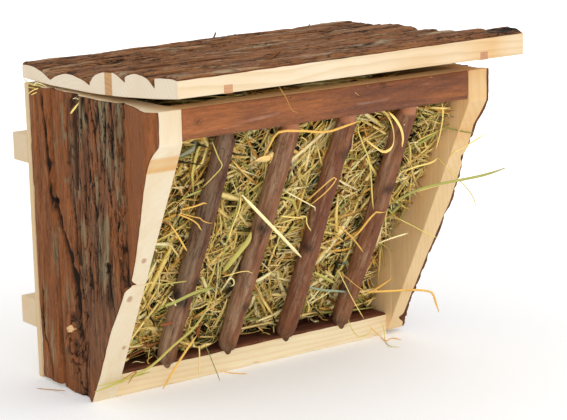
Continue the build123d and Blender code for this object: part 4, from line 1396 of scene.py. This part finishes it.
def stalk_bundle(name, paths, widths, thicknesses, tones, shape, rng, finish="hay", body="box"):
    """One piece made of a stalk bent along each path."""
    ring, around, faces = shape
    count, rings = paths.shape[:2]
    run = np.gradient(paths, axis=1)
    run /= np.maximum(np.linalg.norm(run, axis=2, keepdims=True), 1e-6)
    lean = rng.normal(size=(count, 1, 3))
    side = np.cross(run, lean)
    side /= np.maximum(np.linalg.norm(side, axis=2, keepdims=True), 1e-6)
    up = np.cross(side, run)
    t = np.linspace(0, 1, rings)
    taper = np.minimum(1, 0.35 + 5 * np.minimum(t, 1 - t))[None, :]
    half_wide = (widths[:, None] / 2 * taper)[:, ring]
    half_thick = (thicknesses[:, None] / 2 * taper)[:, ring]
    points = (paths[:, ring] + side[:, ring] * (around[:, 0] * half_wide)[..., None]
              + up[:, ring] * (around[:, 1] * half_thick)[..., None])
    per = len(ring)
    corners = (faces[None] + (np.arange(count) * per)[:, None, None]).reshape(-1)
    mesh = bpy.data.meshes.new(name)
    mesh.vertices.add(count * per)
    mesh.loops.add(len(corners))
    mesh.polygons.add(len(corners) // 3)
    mesh.vertices.foreach_set("co", (points * MM).ravel())
    mesh.loops.foreach_set("vertex_index", corners)
    mesh.polygons.foreach_set("loop_start", np.arange(0, len(corners), 3))
    mesh.update(calc_edges=True)
    piece = bpy.data.objects.new(name, mesh)
    bpy.context.scene.collection.objects.link(piece)
    keep(piece, "tone", np.repeat(tones, per))
    return finish_piece(piece, name, body, [finish])


def pick_tones(rng, mix, count):
    """A stored colour value for each of a number of stalks."""
    names = list(mix)
    share = np.array([mix[name] for name in names])
    picked = rng.choice([TONE[name] for name in names], size=count, p=share / share.sum())
    return np.clip(picked + rng.normal(0, 0.025, count), 0, 1)


def stalk_paths(rng, middles, right, up, out, lengths, curls, bulge):
    """Arcs through middles, lying in the plane of right and up and swelling towards out."""
    count = len(middles)
    turn = rng.uniform(0, 2 * pi, count)[:, None]
    s = np.linspace(-0.5, 0.5, LAYER_RINGS)[None] * lengths[:, None]
    bend = curls[:, None] + 1e-6
    along = np.sin(bend * s) / bend
    aside = (1 - np.cos(bend * s)) / bend
    rise = bulge[:, None] * (1 - (2 * s / lengths[:, None]) ** 2 * 1.5)
    rise = rise + rng.normal(0, 0.16, count)[:, None] * s
    flat_x = along * np.cos(turn) - aside * np.sin(turn)
    flat_y = along * np.sin(turn) + aside * np.cos(turn)
    return middles[:, None] + flat_x[..., None] * right + flat_y[..., None] * up + rise[..., None] * out


def hay_layer(name, rng, count, place, out, right, up, mean_length, mean_width, shape, mix=HAY_MIX):
    """A layer of stalks whose middles place() gives, with darker ones deeper in as painted shade."""
    middles, depth = place(rng, count)
    lengths = np.clip(rng.gamma(2.6, mean_length / 2.6, count), 7, 95)
    curls = rng.normal(0, 1, count) * 0.006
    curls = curls + rng.choice([-1, *[0] * 8, 1], count) * rng.uniform(0.02, 0.07, count)
    bulge = rng.uniform(0, 1.5, count)
    slack = rng.choice([0.0, 1.0, 3.0, 6.0], count)[:, None]
    paths = stalk_paths(rng, middles, right, up, out, lengths, curls, bulge)
    paths = settle(slide_in(paths, slack), 0.5 * slack)
    widths = np.clip(rng.gamma(4, mean_width / 4, count), 0.5, 3.2)
    flat = rng.random(count) < 0.45
    widths = np.where(flat, widths * 1.5, widths)
    thick = np.where(flat, 0.35, widths * 0.85)
    deep = ease(depth, 3.0, 8.5)
    # a few stalks anywhere, and most of those deeper in, take the darker colours; deeper in these are painted
    # shade
    dull = rng.random(count) < 0.05 + deep * 0.92
    tones = np.where(dull, pick_tones(rng, HAY_DEEP_MIX, count), pick_tones(rng, mix, count))
    stalk_bundle(name, paths, widths, thick, tones, shape, rng)


def make_hay(look):
    """The hay: a core for its mass, painted dark as shade, layers of stalks over it, and long stalks given
    one by one.
    """
    rng = np.random.default_rng(HAY_SEED)
    shape = stalk_shape(3, LAYER_RINGS)
    right, back, upright = np.eye(3)
    slant = np.hypot(1, LEAN)
    up, out = np.array([0, -LEAN, 1]) / slant, np.array([0, -1, -LEAN]) / slant
    long, wide = look.stalk_length / MM, look.stalk_width / MM
    hay_core()

    def in_front(low, high, share=1.0):
        def place(rng, count):
            x, z = rng.uniform(LEFT_IN, RIGHT_IN, count), rng.uniform(low, high, count)
            depth = share * 15.0 * rng.random(count) ** 1.1
            return np.stack([x, hay_front(x, z) + 0.6 + depth, z], 1), depth
        return place

    def on_top(rng, count):
        x, y = rng.uniform(LEFT_IN, RIGHT_IN, count), rng.uniform(RAIL_Y[1] + 1.5, BACK_IN, count)
        depth = 10.0 * rng.random(count) ** 1.3
        return np.stack([x, y, hay_top(x, y) - depth], 1), depth

    for name, bottom, top in (
            ("hay_low", FLOOR_TOP + 1, 62), ("hay_middle", 58, 115), ("hay_high", 111, 170)):
        hay_layer(name, rng, look.front_stalks // 3, in_front(bottom, top), out, right, up, long, wide, shape)
    hay_layer("hay_top", rng, look.top_stalks, on_top, upright, right, back, long, wide, shape)
    hay_layer("hay_straws", rng, look.straws, in_front(FLOOR_TOP + 4, 168, 0.2), out, right, up,
              1.6 * long, 1.25 * wide, shape, STRAW_MIX)
    hay_chaff(rng, look.chaff, shape, in_front(FLOOR_TOP + 1, 170))
    placed_stalks(rng)


def hay_chaff(rng, count, shape, place):
    """Short broken bits and small leaves among the stalks."""
    middles, depth = place(rng, count)
    middles[:, 1] -= 0.8 * depth
    spin = rng.normal(size=(count, 3))
    spin /= np.linalg.norm(spin, axis=1, keepdims=True)
    lengths = rng.uniform(3, 15, count)
    t = np.linspace(-0.5, 0.5, LAYER_RINGS)[None]
    hook = np.cross(spin, rng.normal(size=(count, 3)))
    hook /= np.linalg.norm(hook, axis=1, keepdims=True)
    bent = t**2 * lengths[:, None] * rng.uniform(0, 1.4, count)[:, None]
    paths = (middles[:, None] + spin[:, None] * (t * lengths[:, None])[..., None]
             + hook[:, None] * bent[..., None])
    paths = settle(paths, rng.choice([0.0, 1.5, 5.0], count)[:, None])
    leaf = rng.random(count) < 0.3
    widths = np.where(leaf, rng.uniform(1.6, 3.6, count), rng.uniform(0.5, 1.3, count))
    tones = pick_tones(rng, {**HAY_MIX, "broad_gold": 0.1, "rust": 0.05}, count)
    stalk_bundle("hay_chaff", paths, widths, np.where(leaf, 0.3, 0.45), tones, shape, rng)


def hay_core():
    """The inside of the hay, a lumpy block a little smaller than its space, coloured dark as painted shade.
    """
    core = form("cube", size=1)
    edit(core)
    bpy.ops.mesh.subdivide(number_cuts=CORE_CUTS)
    done()
    unit = read(core) + 0.5
    x = LEFT_IN + CORE_ROOM + unit[:, 0] * (RIGHT_IN - LEFT_IN - 2 * CORE_ROOM)
    bottom = FLOOR_TOP + 0.4
    z = bottom + unit[:, 2] * (hay_top(x, 72.0 - 60 * (1 - unit[:, 1])) - 7.5 - bottom)
    front = hay_front(x, z) + 13.0 + 2.5 * swell(x / 6, z / 6, 431)
    y = front + unit[:, 1] * (BACK_IN - CORE_ROOM - front)
    put(core, np.stack([x, y, z], 1))
    finish_piece(core, "hay_core", "box", ["hay_depth"], ["hay_fill"])


def spline(points, count):
    """Evenly spaced points of a smooth line through the given ones."""
    points = np.array(points, float)
    padded = np.vstack([2 * points[0] - points[1], points, 2 * points[-1] - points[-2]])
    line = []
    for a, b, c, d in zip(padded, padded[1:], padded[2:], padded[3:]):
        square, cube = 2 * a - 5 * b + 4 * c - d, 3 * b - a - 3 * c + d
        for t in np.linspace(0, 1, 12, endpoint=False):
            line.append(0.5 * (2 * b + (c - a) * t + square * t**2 + cube * t**3))
    line = np.array(line + [points[-1]])
    far = np.concatenate([[0], np.cumsum(np.linalg.norm(np.diff(line, axis=0), axis=1))])
    return np.stack([np.interp(np.linspace(0, far[-1], count), far, line[:, k]) for k in range(3)], 1)


def placed_stalks(rng):
    """The long stalks that cross the bars, hang out in front and stick out behind the lid."""
    kinds, widths, tones, lines = zip(*PLACED_STALKS)
    paths = np.array([spline(points, LONG_RINGS) for points in lines]) + np.array([MIDDLE_X, 0, 0])
    widths = np.array(widths, float)
    thick = np.where(np.array(kinds) == "blade", 0.45, widths * 0.8)
    stalk_bundle("hay_long_stalks", clear_of_bars(paths, 0.8), widths, thick,
                 np.array([TONE[tone] for tone in tones]), stalk_shape(6, LONG_RINGS), rng)


# Long stalks, given one by one: kind, width, colour and the points they run through, X from the box's middle
PLACED_STALKS = (
    ("tube", 2.3, "cream", ((-50.1, -52.5, 126.9), (-33.4, -48.6, 111.2), (-12.4, -40.6, 93.1),
     (8.7, -30, 75.9))),
    ("tube", 1.5, "golden", ((-38.9, -57.9, 147.7), (-38.9, -67.2, 158.5), (-38.6, -75, 165.9),
     (-22.3, -75.3, 164.6), (-3.6, -73.8, 161.5), (8.1, -75.1, 163.3), (20.4, -75.7, 165.5))),
    ("tube", 0.8, "golden", ((1.6, -44.7, 113.5), (6.7, -53.4, 122.7), (13.5, -57.6, 129.2),
     (16.4, -56.7, 127.5), (11.4, -53.1, 120.2), (4.7, -44.6, 111.1))),
    ("blade", 2, "straw", ((33.3, -62.2, 152.5), (41.1, -63, 146.1), (49.2, -62.6, 141.3),
     (54.5, -64, 143.9), (53.7, -66.9, 151.8), (50.4, -68.2, 160.4), (46.7, -67.1, 166.2))),
    ("blade", 1.9, "straw", ((47.8, -69.5, 167), (51.2, -72, 162), (56, -70.9, 155.8), (60.2, -67.6, 149.3),
     (62.9, -63.4, 142.8))),
    ("tube", 1, "pale_green", ((21.8, -70.1, 162.2), (28.4, -67.4, 150.7), (38.9, -60.7, 137.4),
     (45.6, -54.2, 124.3), (51.5, -47.6, 111.2), (59.2, -39.2, 100.4))),
    ("blade", 1.5, "straw", ((92.6, -66.6, 167.1), (95.2, -64.5, 160.9), (98, -60.3, 152.5),
     (100.7, -54.3, 142.5), (103.4, -48.2, 134.3))),
    ("blade", 1.9, "green", ((73.2, -34.5, 98.9), (86.1, -47.7, 109.5), (100.1, -55.6, 113.3),
     (112.7, -60.4, 114.8), (126.4, -64, 116.1), (135.8, -66.9, 117.8), (142.4, -70, 120))),
    ("tube", 1, "straw", ((86, -44.9, 107.8), (98.2, -54, 112), (109.6, -59.2, 114.4), (121.7, -62.6, 115.2)
     )),
    ("tube", 0.8, "pale_green", ((102.1, -51.6, 129.2), (110.3, -55.5, 118.9), (120.4, -57.4, 108.8),
     (127.1, -56.6, 101.2), (131.2, -54.9, 93.8))),
    ("tube", 1, "dull_green", ((98, -60.3, 150.6), (105.2, -65.2, 148.5), (109.7, -69.6, 147.2),
     (114, -72.2, 146.4))),
    ("tube", 0.9, "straw", ((109.1, -55, 128.1), (104.8, -62.8, 133.6), (110.1, -69.1, 138.2),
     (118, -78, 146))),
    ("tube", 0.7, "pale_green", ((83.2, -31.2, 90.4), (96.3, -33.4, 82.9), (109.6, -34.5, 75.1),
     (115.8, -36.2, 72.4))),
    ("blade", 2.1, "green", ((-91.1, -18.4, 56.8), (-88.4, -23.2, 60.4), (-83, -24.8, 61.6),
     (-70.5, -26.7, 65.4), (-62.2, -26.1, 66.3), (-50.2, -20.1, 64.3))),
    ("blade", 1.7, "yellow_green", ((-48, -16.7, 59.5), (-55, -16.7, 49.4), (-61.6, -13.9, 39.9),
     (-75.2, -9.8, 29.6), (-88.6, -5.3, 18.5), (-108.5, -4.8, 13.5), (-127.8, -5.4, 10.8))),
    ("tube", 1, "yellow_green", ((-86.8, -2.1, 14.2), (-103.8, -4.2, 14.3), (-117.7, -6.3, 14.5),
     (-126.7, -7.4, 14.8))),
    ("blade", 1.6, "golden", ((-52.3, -4.1, 32.2), (-59.3, -5.4, 26.8), (-65.3, -5.1, 20.2),
     (-71.1, -2.2, 10.5), (-76.2, 0.7, 0.6))),
    ("tube", 0.6, "dull_green", ((-44.5, 0.3, 23.4), (-41.6, -0.6, 15.3), (-38, -0.3, 6.7),
     (-40.1, -8.7, 0.6))),
    ("tube", 1.1, "straw", ((-49.8, -1, 24), (-50.1, -1.6, 17.1), (-49.5, 0.6, 4.9))),
    ("tube", 0.7, "golden", ((-31.5, 2.6, 2.7), (-24.8, 0.2, 0.6), (-18.2, -7.9, 0.6))),
    ("tube", 1.3, "golden", ((-95.7, -44.5, 115.1), (-90.6, -44.6, 107.2), (-81.7, -40, 96))),
    ("blade", 3.4, "yellow_green", ((-31.7, -34.4, 98.7), (-34.4, -34.8, 93.7), (-39.1, -33, 87.9),
     (-43.6, -29.6, 81.2), (-46, -24.2, 74.4))),
    ("blade", 2.2, "golden", ((46.9, -15.6, 59.2), (55.2, -15.2, 52.5), (65.7, -13.2, 44.3),
     (75.5, -12.2, 38.4), (84.5, -13.6, 41.2), (94.8, -13.4, 44.8))),
    ("blade", 1.7, "golden", ((75.5, -12.2, 38.4), (93.2, -13.1, 36.2), (109.3, -16.4, 34.8),
     (121.6, -18.2, 32.3), (126.3, -17.7, 29.3), (131.3, -14.8, 21.7), (136.4, -12, 14))),
    ("blade", 2.9, "yellow_green", ((27.2, -17.4, 60.9), (35.3, -17.1, 56.2), (48.3, -11.5, 49))),
    ("blade", 1.8, "blue_green", ((27.1, -10.9, 49.9), (38.1, -12.1, 46.2), (49.6, -11.7, 43.5),
     (61.5, -6.9, 39.8))),
    ("tube", 0.8, "straw", ((45.3, -19.8, 59.6), (53.6, -16.2, 48.3), (65.5, -9.1, 34.2), (82.3, 0.9, 16.3)
     )),
    ("tube", 1, "cream", ((73.7, -23.4, 72.8), (82.2, -29.2, 76.4), (95.9, -28.8, 77.5))),
    ("tube", 0.9, "straw", ((72.4, -34.5, 99), (75.1, -31.5, 89), (82.6, -22.6, 75.2))),
    ("blade", 1.5, "golden", ((30.9, -35.2, 94.4), (38.2, -35.8, 89.5), (47.7, -33.6, 81.3),
     (59, -28.4, 70.8))),
    ("tube", 1.4, "golden", ((67.3, -36.7, 99.5), (56.6, -39.9, 95.8), (50.6, -35.1, 86.2), (48, -29.2, 80.5)
     )),
    ("tube", 0.8, "golden", ((88.2, 3, 9.9), (97.7, 3.4, 1.1), (94.3, -7.1, 0.6), (101.9, -4.1, 0.6),
     (103.8, -12.1, 0.6))),
    ("tube", 0.7, "pale_green", ((67.7, -0.6, 19.2), (70.6, -1, 12), (77.4, 1.3, 5.4), (84.4, 1.6, 4.7),
     (90.3, 2.6, 6.9))),
    ("tube", 0.7, "pale_green", ((98.6, 3.3, 11.4), (100.5, 2.5, 5), (95.5, -4.6, 0.6), (88.8, -17.9, 0.6),
     (92.4, -23.9, 0.6))),
    ("tube", 0.7, "golden_brown", ((-52.9, -95.2, 196.4), (-44, -89, 189.1), (-35.8, -84.3, 179.5),
     (-30.8, -83.2, 177.4))),
    ("tube", 1, "straw", ((-47.7, -48, 125.9), (-47.5, -45.2, 116.4), (-48.9, -39.3, 104.7),
     (-47.2, -32.3, 94.6))),
    ("blade", 2.3, "green", ((-47.4, -46.5, 125), (-47.9, -41.4, 112.8), (-48.9, -34.9, 97.8),
     (-48.2, -26.7, 81.4), (-44.6, -17.3, 64.7))),
    ("blade", 1.2, "yellow_green", ((-54.4, -29.5, 82.9), (-55.2, -25.9, 73.7), (-55.2, -19.9, 63.9),
     (-52, -11.4, 52.8))),
    ("tube", 0.8, "pale_green", ((-80.2, -67.4, 164.8), (-75.7, -66.4, 154.9), (-72.6, -65.6, 149.1),
     (-76.9, -62.4, 142.8), (-80.4, -55.9, 135.9))),
    ("tube", 1.1, "golden", ((-89, -45.2, 122.5), (-81.2, -50.2, 124.5), (-72.6, -50.1, 126.2))),
    ("tube", 1.1, "golden", ((-89.7, -44, 120), (-81.3, -45.7, 115.5), (-72.3, -42.4, 108.8))),
    ("tube", 0.8, "golden", ((-89.1, -44.3, 120.6), (-80.4, -46.6, 117.3), (-68.9, -44, 113.9))),
    ("blade", 1.3, "green", ((-93.4, -48.1, 128.3), (-88.2, -52.9, 131.8), (-78.5, -53, 134))),
    ("tube", 0.7, "golden_brown", ((-21.1, -30.5, 87.1), (-15.6, -33.2, 82.3), (-5.8, -29.9, 75.7))),
    ("tube", 0.9, "cream", ((-16.5, -47.2, 124.4), (-8.9, -47.9, 119.8), (3.2, -44.6, 113.2),
     (16.3, -38.3, 106.5))),
    ("tube", 0.8, "straw", ((-0.9, -42.7, 105.4), (3.4, -43.1, 104.2), (6.8, -39.4, 98.7),
     (13.7, -34.2, 92.4))),
    ("tube", 0.9, "straw", ((-17.6, -45.2, 108.3), (-10.3, -45.3, 106.6), (2, -42.9, 103.8))),
    ("blade", 5, "broad_gold", ((-47.8, -54.1, 144.2), (-42.5, -58.9, 147.7), (-31.5, -57.7, 147.3))),
    ("blade", 4, "broad_gold", ((-36.3, -54.1, 146.3), (-34, -59.1, 150.2), (-24.5, -54.8, 143.6))),
    ("tube", 1.5, "straw", ((76.4, -43.9, 121.8), (82.7, -52, 126), (94.6, -52.5, 127.1),
     (102.1, -51.6, 129.2))),
    ("tube", 0.8, "cream", ((-40.9, -19.5, 65.1), (-42.1, -24.7, 69.4), (-39, -24.4, 68.8), (-37, -22.5, 65),
     (-37.8, -19.3, 62.6))),
    ("tube", 0.7, "straw", ((-45.6, -22.4, 70.8), (-35.1, -26.5, 73), (-25, -24.8, 71.6))),
    ("tube", 0.9, "yellow_green", ((-91.8, -22.9, 73.8), (-84.8, -27.4, 74.7), (-74, -27, 74))),
    ("tube", 0.8, "cream", ((-82.7, -19.1, 64.1), (-79.6, -19.6, 61.2), (-76.3, -17.5, 57.1),
     (-78.5, -19.1, 62.1))),
    ("blade", 2.4, "rust", ((-50.4, -6.3, 42.6), (-52.6, -7, 38), (-53.9, -5.4, 32.8), (-48, -3, 28))),
    ("blade", 1.6, "rust", ((-82.2, -8.2, 44.4), (-78.6, -10.4, 44.8), (-72.3, -9.7, 45.4))),
    ("tube", 0.8, "golden_brown", ((-110.1, -6.5, 14.9), (-104.9, -6.2, 16.3), (-98.4, -6.1, 18.1),
     (-101.2, -5.7, 15.4), (-104.1, -4.3, 10.7))),
    ("tube", 0.9, "yellow_green", ((-116.5, 48.9, 185.1), (-121.5, 54.4, 187.4), (-123.5, 63.1, 187.9),
     (-124.5, 69.6, 191))),
    ("tube", 0.8, "straw", ((-116.5, 48.9, 185.7), (-121.5, 52.1, 186.5), (-123.5, 58.5, 184.8),
     (-124.5, 64.4, 181.8))),
    ("tube", 0.8, "yellow_green", ((-116.5, 51.4, 184.2), (-121.5, 54.7, 185), (-123.5, 59.6, 185.9),
     (-124.5, 66.4, 185.8))),
    ("tube", 0.7, "cream", ((-116.5, 51.3, 186), (-120.5, 54.9, 188.5), (-122.5, 57.4, 189),
     (-123.5, 58.2, 187.2))),
    ("tube", 0.7, "straw", ((-116.5, 53.8, 185.1), (-121.5, 57.3, 183.5), (-123.5, 62.5, 181.3))),
    ("tube", 0.8, "straw", ((-116.5, 13.5, 186.6), (-121.5, 6.3, 185), (-123.5, 9, 180.2), (-124, 15, 175.4),
     (-124, 13, 177.4), (-123.5, 7.8, 181.6), (-122.5, 4.7, 183.6))),
    ("tube", 0.6, "cream", ((-122.5, 13.8, 184.3), (-123.5, 8.6, 185.6), (-122.5, 6.9, 184.5))),
    ("tube", 0.6, "golden_brown", ((-135.4, 53.5, 0.6), (-132.6, 48.5, 0.6), (-128.5, 40.7, 1),
     (-128.5, 28.3, 3.4))),
)


# ---- Settings --------------------------------------------------------------------------


def colour(name, description, value):
    """A colour setting."""
    return bpy.props.FloatVectorProperty(
        name=name, description=description, subtype="COLOR", size=4, min=0.0, max=1.0, default=value)


def measure(name, description, value, unit="NONE"):
    """A number setting: a length in metres, a power in watts or a plain strength."""
    return bpy.props.FloatProperty(name=name, description=description, default=value, min=0.0, unit=unit)


def amount(name, description, value, least=0):
    """A count setting."""
    return bpy.props.IntProperty(name=name, description=description, default=value, min=least)


class HayBoxWood(bpy.types.PropertyGroup):
    """Colours of the bark and the sawn wood"""
    bark_red: colour("Bark Red", "Reddish colour of the bark", paint(122, 84, 60))
    bark_brown: colour("Bark Brown", "Orange-brown colour of the bark", paint(146, 88, 50))
    bark_grey: colour("Lichen Grey", "Grey-green growth on the bark", paint(136, 124, 94))
    sawn_pale: colour("Sawn Wood", "Pale colour of the sawn faces", paint(247, 232, 202))
    sawn_late: colour("Growth Rings", "Darker colour of the growth rings", paint(230, 204, 162))
    resin: colour("Resin", "Tint of the resin stains", paint(240, 196, 120))


class HayBoxHay(bpy.types.PropertyGroup):
    """Amount and size of the hay"""
    front_stalks: amount("Front Stalks", "Stalks behind the bars", 2900, 300)
    straws: amount("Long Straws", "Long pale straws on the hay's front", 330)
    top_stalks: amount("Top Stalks", "Stalks under the lid", 2600, 100)
    chaff: amount("Broken Bits", "Short bits and leaves", 1000)
    stalk_length: measure("Stalk Length", "Mean length of a stalk", 0.038, "LENGTH")
    stalk_width: measure("Stalk Width", "Mean width of a stalk", 0.00145, "LENGTH")


class HayBoxStage(bpy.types.PropertyGroup):
    """Floor and lights"""
    floor: colour("Floor", "Colour of the floor", paint(244, 244, 244))
    sky: measure("Room Light", "Strength of the light from all round", 0.80)
    key: measure("Key Light", "Power of the large lamp on the right", 5.5, "POWER")
    front: measure("Front Light", "Power of the low lamp at the front left", 9.0, "POWER")


# ---- Operators -------------------------------------------------------------------------


class HAYBOX_OT_finishes(bpy.types.Operator):
    """Make the bark, wood, steel and hay materials"""
    bl_idname = "hay_box.finishes"
    bl_label = "Make Finishes"

    def execute(self, context):
        make_finishes(context.scene.hay_box_wood)
        return {"FINISHED"}


class HAYBOX_OT_side_panels(bpy.types.Operator):
    """Make the three bark slabs of each side panel"""
    bl_idname = "hay_box.side_panels"
    bl_label = "Side Panels"

    def execute(self, context):
        for side in ("left", "right"):
            for place_name in ("front", "middle", "rear"):
                side_slab(side, place_name)
        branch_stub()
        return {"FINISHED"}


class HAYBOX_OT_rail_and_floor(bpy.types.Operator):
    """Make the bark-faced rail and floor board"""
    bl_idname = "hay_box.rail_and_floor"
    bl_label = "Rail and Floor"

    def execute(self, context):
        front_rail()
        floor_slab()
        return {"FINISHED"}


class HAYBOX_OT_sawn_boards(bpy.types.Operator):
    """Make the back board and the two battens"""
    bl_idname = "hay_box.sawn_boards"
    bl_label = "Back Board and Battens"

    def execute(self, context):
        sawn_board("sawn_back_board", "back_board", "sawn_back", 2)
        sawn_board("sawn_upper_batten", "upper_batten", "sawn_batten", 0, 0.7)
        sawn_board("sawn_lower_batten", "lower_batten", "sawn_batten", 0, 0.7)
        return {"FINISHED"}


class HAYBOX_OT_bars(bpy.types.Operator):
    """Make the four branch bars"""
    bl_idname = "hay_box.bars"
    bl_label = "Branch Bars"

    def execute(self, context):
        for index in range(len(BARS)):
            branch_bar(index)
        return {"FINISHED"}


class HAYBOX_OT_lid(bpy.types.Operator):
    """Make the boards of the lid"""
    bl_idname = "hay_box.lid"
    bl_label = "Lid"

    def execute(self, context):
        for number, node in enumerate((*LID_SLABS, "lid_filler_strip"), 1):
            lid_board(number, node)
        for side in ("left", "right"):
            lid_cleat(side)
        lid_slivers()
        return {"FINISHED"}


# CAD parts that are shown as they are, by finish
CARRIED_PARTS = {
    "hinge_steel": [f"hinge_{side}_{part}" for side in ("left", "right")
                    for part in ("body_leaf", "lid_leaf", "pin")],
    "fastener_steel": ["hinge_body_screws", "hinge_lid_screws", "left_side_brads", "right_side_brads",
                       "back_board_brads", "batten_screws"],
}


class HAYBOX_OT_hardware(bpy.types.Operator):
    """Finish the hinges, screws and brads"""
    bl_idname = "hay_box.hardware"
    bl_label = "Hardware"

    def execute(self, context):
        for finish, nodes in CARRIED_PARTS.items():
            for slot in (slot for node in nodes for slot in bpy.data.objects[node].material_slots):
                slot.material = FINISHES[finish]
        return {"FINISHED"}


class HAYBOX_OT_hay(bpy.types.Operator):
    """Fill the box with hay"""
    bl_idname = "hay_box.hay"
    bl_label = "Hay"

    def execute(self, context):
        make_hay(context.scene.hay_box_hay)
        return {"FINISHED"}


class HAYBOX_OT_stage(bpy.types.Operator):
    """Set the floor, the lights and the camera"""
    bl_idname = "hay_box.stage"
    bl_label = "Stage"

    def execute(self, context):
        make_stage(context.scene, context.scene.hay_box_stage)
        return {"FINISHED"}


# ---- Stage -----------------------------------------------------------------------------

CAMERA_PLACE = (-0.68840011, -0.96625094, 0.35908540)
CAMERA_RIGHT = (0.80149934, -0.59764271, -0.02054266)
CAMERA_DOWN = (-0.1469511, -0.16354459, -0.97552988)
CAMERA_FORWARD = (0.57965868, 0.78490532, -0.21890513)
CAMERA_SENSOR = 36.0
CAMERA_LENS = 123.0206
CAMERA_SHIFT = (-0.023521, 0.022698)
FLOOR_SIZE = 14
KEY_PLACE = (0.75, -1.0, 1.25)
FRONT_PLACE = (-0.9, -1.5, 0.38)
LAMP_SIZE = 1.4
LAMP_AIM = Vector((0, 0, 0.09))
WHITE = (1, 1, 1, 1)


def lamp(name, place, power):
    """A square area lamp that shines at the middle of the box."""
    light = bpy.data.lights.new(name, "AREA")
    light.energy, light.size = power, LAMP_SIZE
    made = bpy.data.objects.new(name, light)
    bpy.context.scene.collection.objects.link(made)
    made.location = place
    made.rotation_euler = (LAMP_AIM - Vector(place)).to_track_quat("-Z", "Y").to_euler()


def make_stage(scene, look):
    """A pale floor, soft studio light and the camera."""
    scene.view_settings.view_transform = "Standard"
    floor = form("plane", size=FLOOR_SIZE)
    floor.name = "studio_floor"
    w, shader, place = new_material("studio_floor")
    speck = w.step(w.noise(place, (0.02, 0.02, 0.02), 3), 0.3, 0.7, 0.0, 0.05)
    w.feed(shader.inputs["Base Color"], w.mix(speck, tuple(look.floor), paint(232, 232, 232)))
    shader.inputs["Roughness"].default_value = 0.9
    shader.inputs["Emission Color"].default_value = WHITE
    path = w.node("ShaderNodeLightPath")
    away = w.node("ShaderNodeVectorMath", {0: place}, operation="LENGTH").outputs["Value"]
    w.feed(shader.inputs["Emission Strength"],
           w.sum("MULTIPLY", path.outputs["Is Camera Ray"], w.step(away, 0.2, 0.9, 0.2, 0.55)))
    floor.data.materials.append(FINISHES["studio_floor"])
    floor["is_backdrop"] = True

    world = bpy.data.worlds.new("studio")
    scene.world = world
    world.use_nodes = True
    w = Wiring(world.node_tree)
    back = world.node_tree.nodes["Background"]
    path = w.node("ShaderNodeLightPath").outputs
    seen = w.sum("MAXIMUM", path["Is Glossy Ray"], path["Is Transmission Ray"])
    seen = w.sum("MAXIMUM", path["Is Camera Ray"], seen)
    back.inputs["Color"].default_value = WHITE
    w.feed(back.inputs["Strength"], w.sum("MAXIMUM", seen, look.sky))

    lamp("key_lamp", KEY_PLACE, look.key)
    lamp("front_lamp", FRONT_PLACE, look.front)

    view = bpy.data.cameras.new("camera")
    view.lens, view.sensor_width = CAMERA_LENS, CAMERA_SENSOR
    view.shift_x, view.shift_y = CAMERA_SHIFT
    view.clip_start, view.clip_end = 0.01, 50
    camera = bpy.data.objects.new("camera", view)
    scene.collection.objects.link(camera)
    turn = Matrix([CAMERA_RIGHT, [-x for x in CAMERA_DOWN], [-x for x in CAMERA_FORWARD]]).transposed()
    camera.matrix_world = Matrix.Translation(CAMERA_PLACE) @ turn.to_4x4()
    scene.camera = camera


# ---- Panel and registration ------------------------------------------------------------

STEPS = (HAYBOX_OT_finishes, HAYBOX_OT_side_panels, HAYBOX_OT_rail_and_floor, HAYBOX_OT_sawn_boards,
         HAYBOX_OT_bars, HAYBOX_OT_lid, HAYBOX_OT_hardware, HAYBOX_OT_hay, HAYBOX_OT_stage)


class HAYBOX_PT_panel(bpy.types.Panel):
    """Settings and steps of the hay feeder box"""
    bl_label = "Hay Feeder Box"
    bl_idname = "HAYBOX_PT_panel"
    bl_space_type = "VIEW_3D"
    bl_region_type = "UI"
    bl_category = "Hay Box"

    def draw(self, context):
        layout = self.layout
        for group in SETTINGS:
            box = layout.box()
            box.label(text=group)
            settings = getattr(context.scene, group)
            for name in SETTINGS[group].__annotations__:
                box.prop(settings, name)
        for step in STEPS:
            layout.operator(step.bl_idname)


SETTINGS = {"hay_box_wood": HayBoxWood, "hay_box_hay": HayBoxHay, "hay_box_stage": HayBoxStage}
CLASSES = (*SETTINGS.values(), *STEPS, HAYBOX_PT_panel)


def register():
    """Add the settings, the steps and the panel."""
    for cls in CLASSES:
        bpy.utils.register_class(cls)
    for name, group in SETTINGS.items():
        setattr(bpy.types.Scene, name, bpy.props.PointerProperty(type=group))


def unregister():
    """Take them out again."""
    for name in SETTINGS:
        delattr(bpy.types.Scene, name)
    for cls in reversed(CLASSES):
        bpy.utils.unregister_class(cls)


def main():
    """Make the whole box and its stage, and work out the bounds of the imported model and of the made object.
    """
    register()
    for step in STEPS:
        group, name = step.bl_idname.split(".")
        if getattr(getattr(bpy.ops, group), name)() != {"FINISHED"}:
            raise RuntimeError(f"{step.bl_label} didn't finish")
    boxes = {"cad": CAD_BOX, "visual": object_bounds()}
    rows = {name: [list(map(float, corner)) for corner in box] for name, box in boxes.items()}


if __name__ == "__main__":
    main()
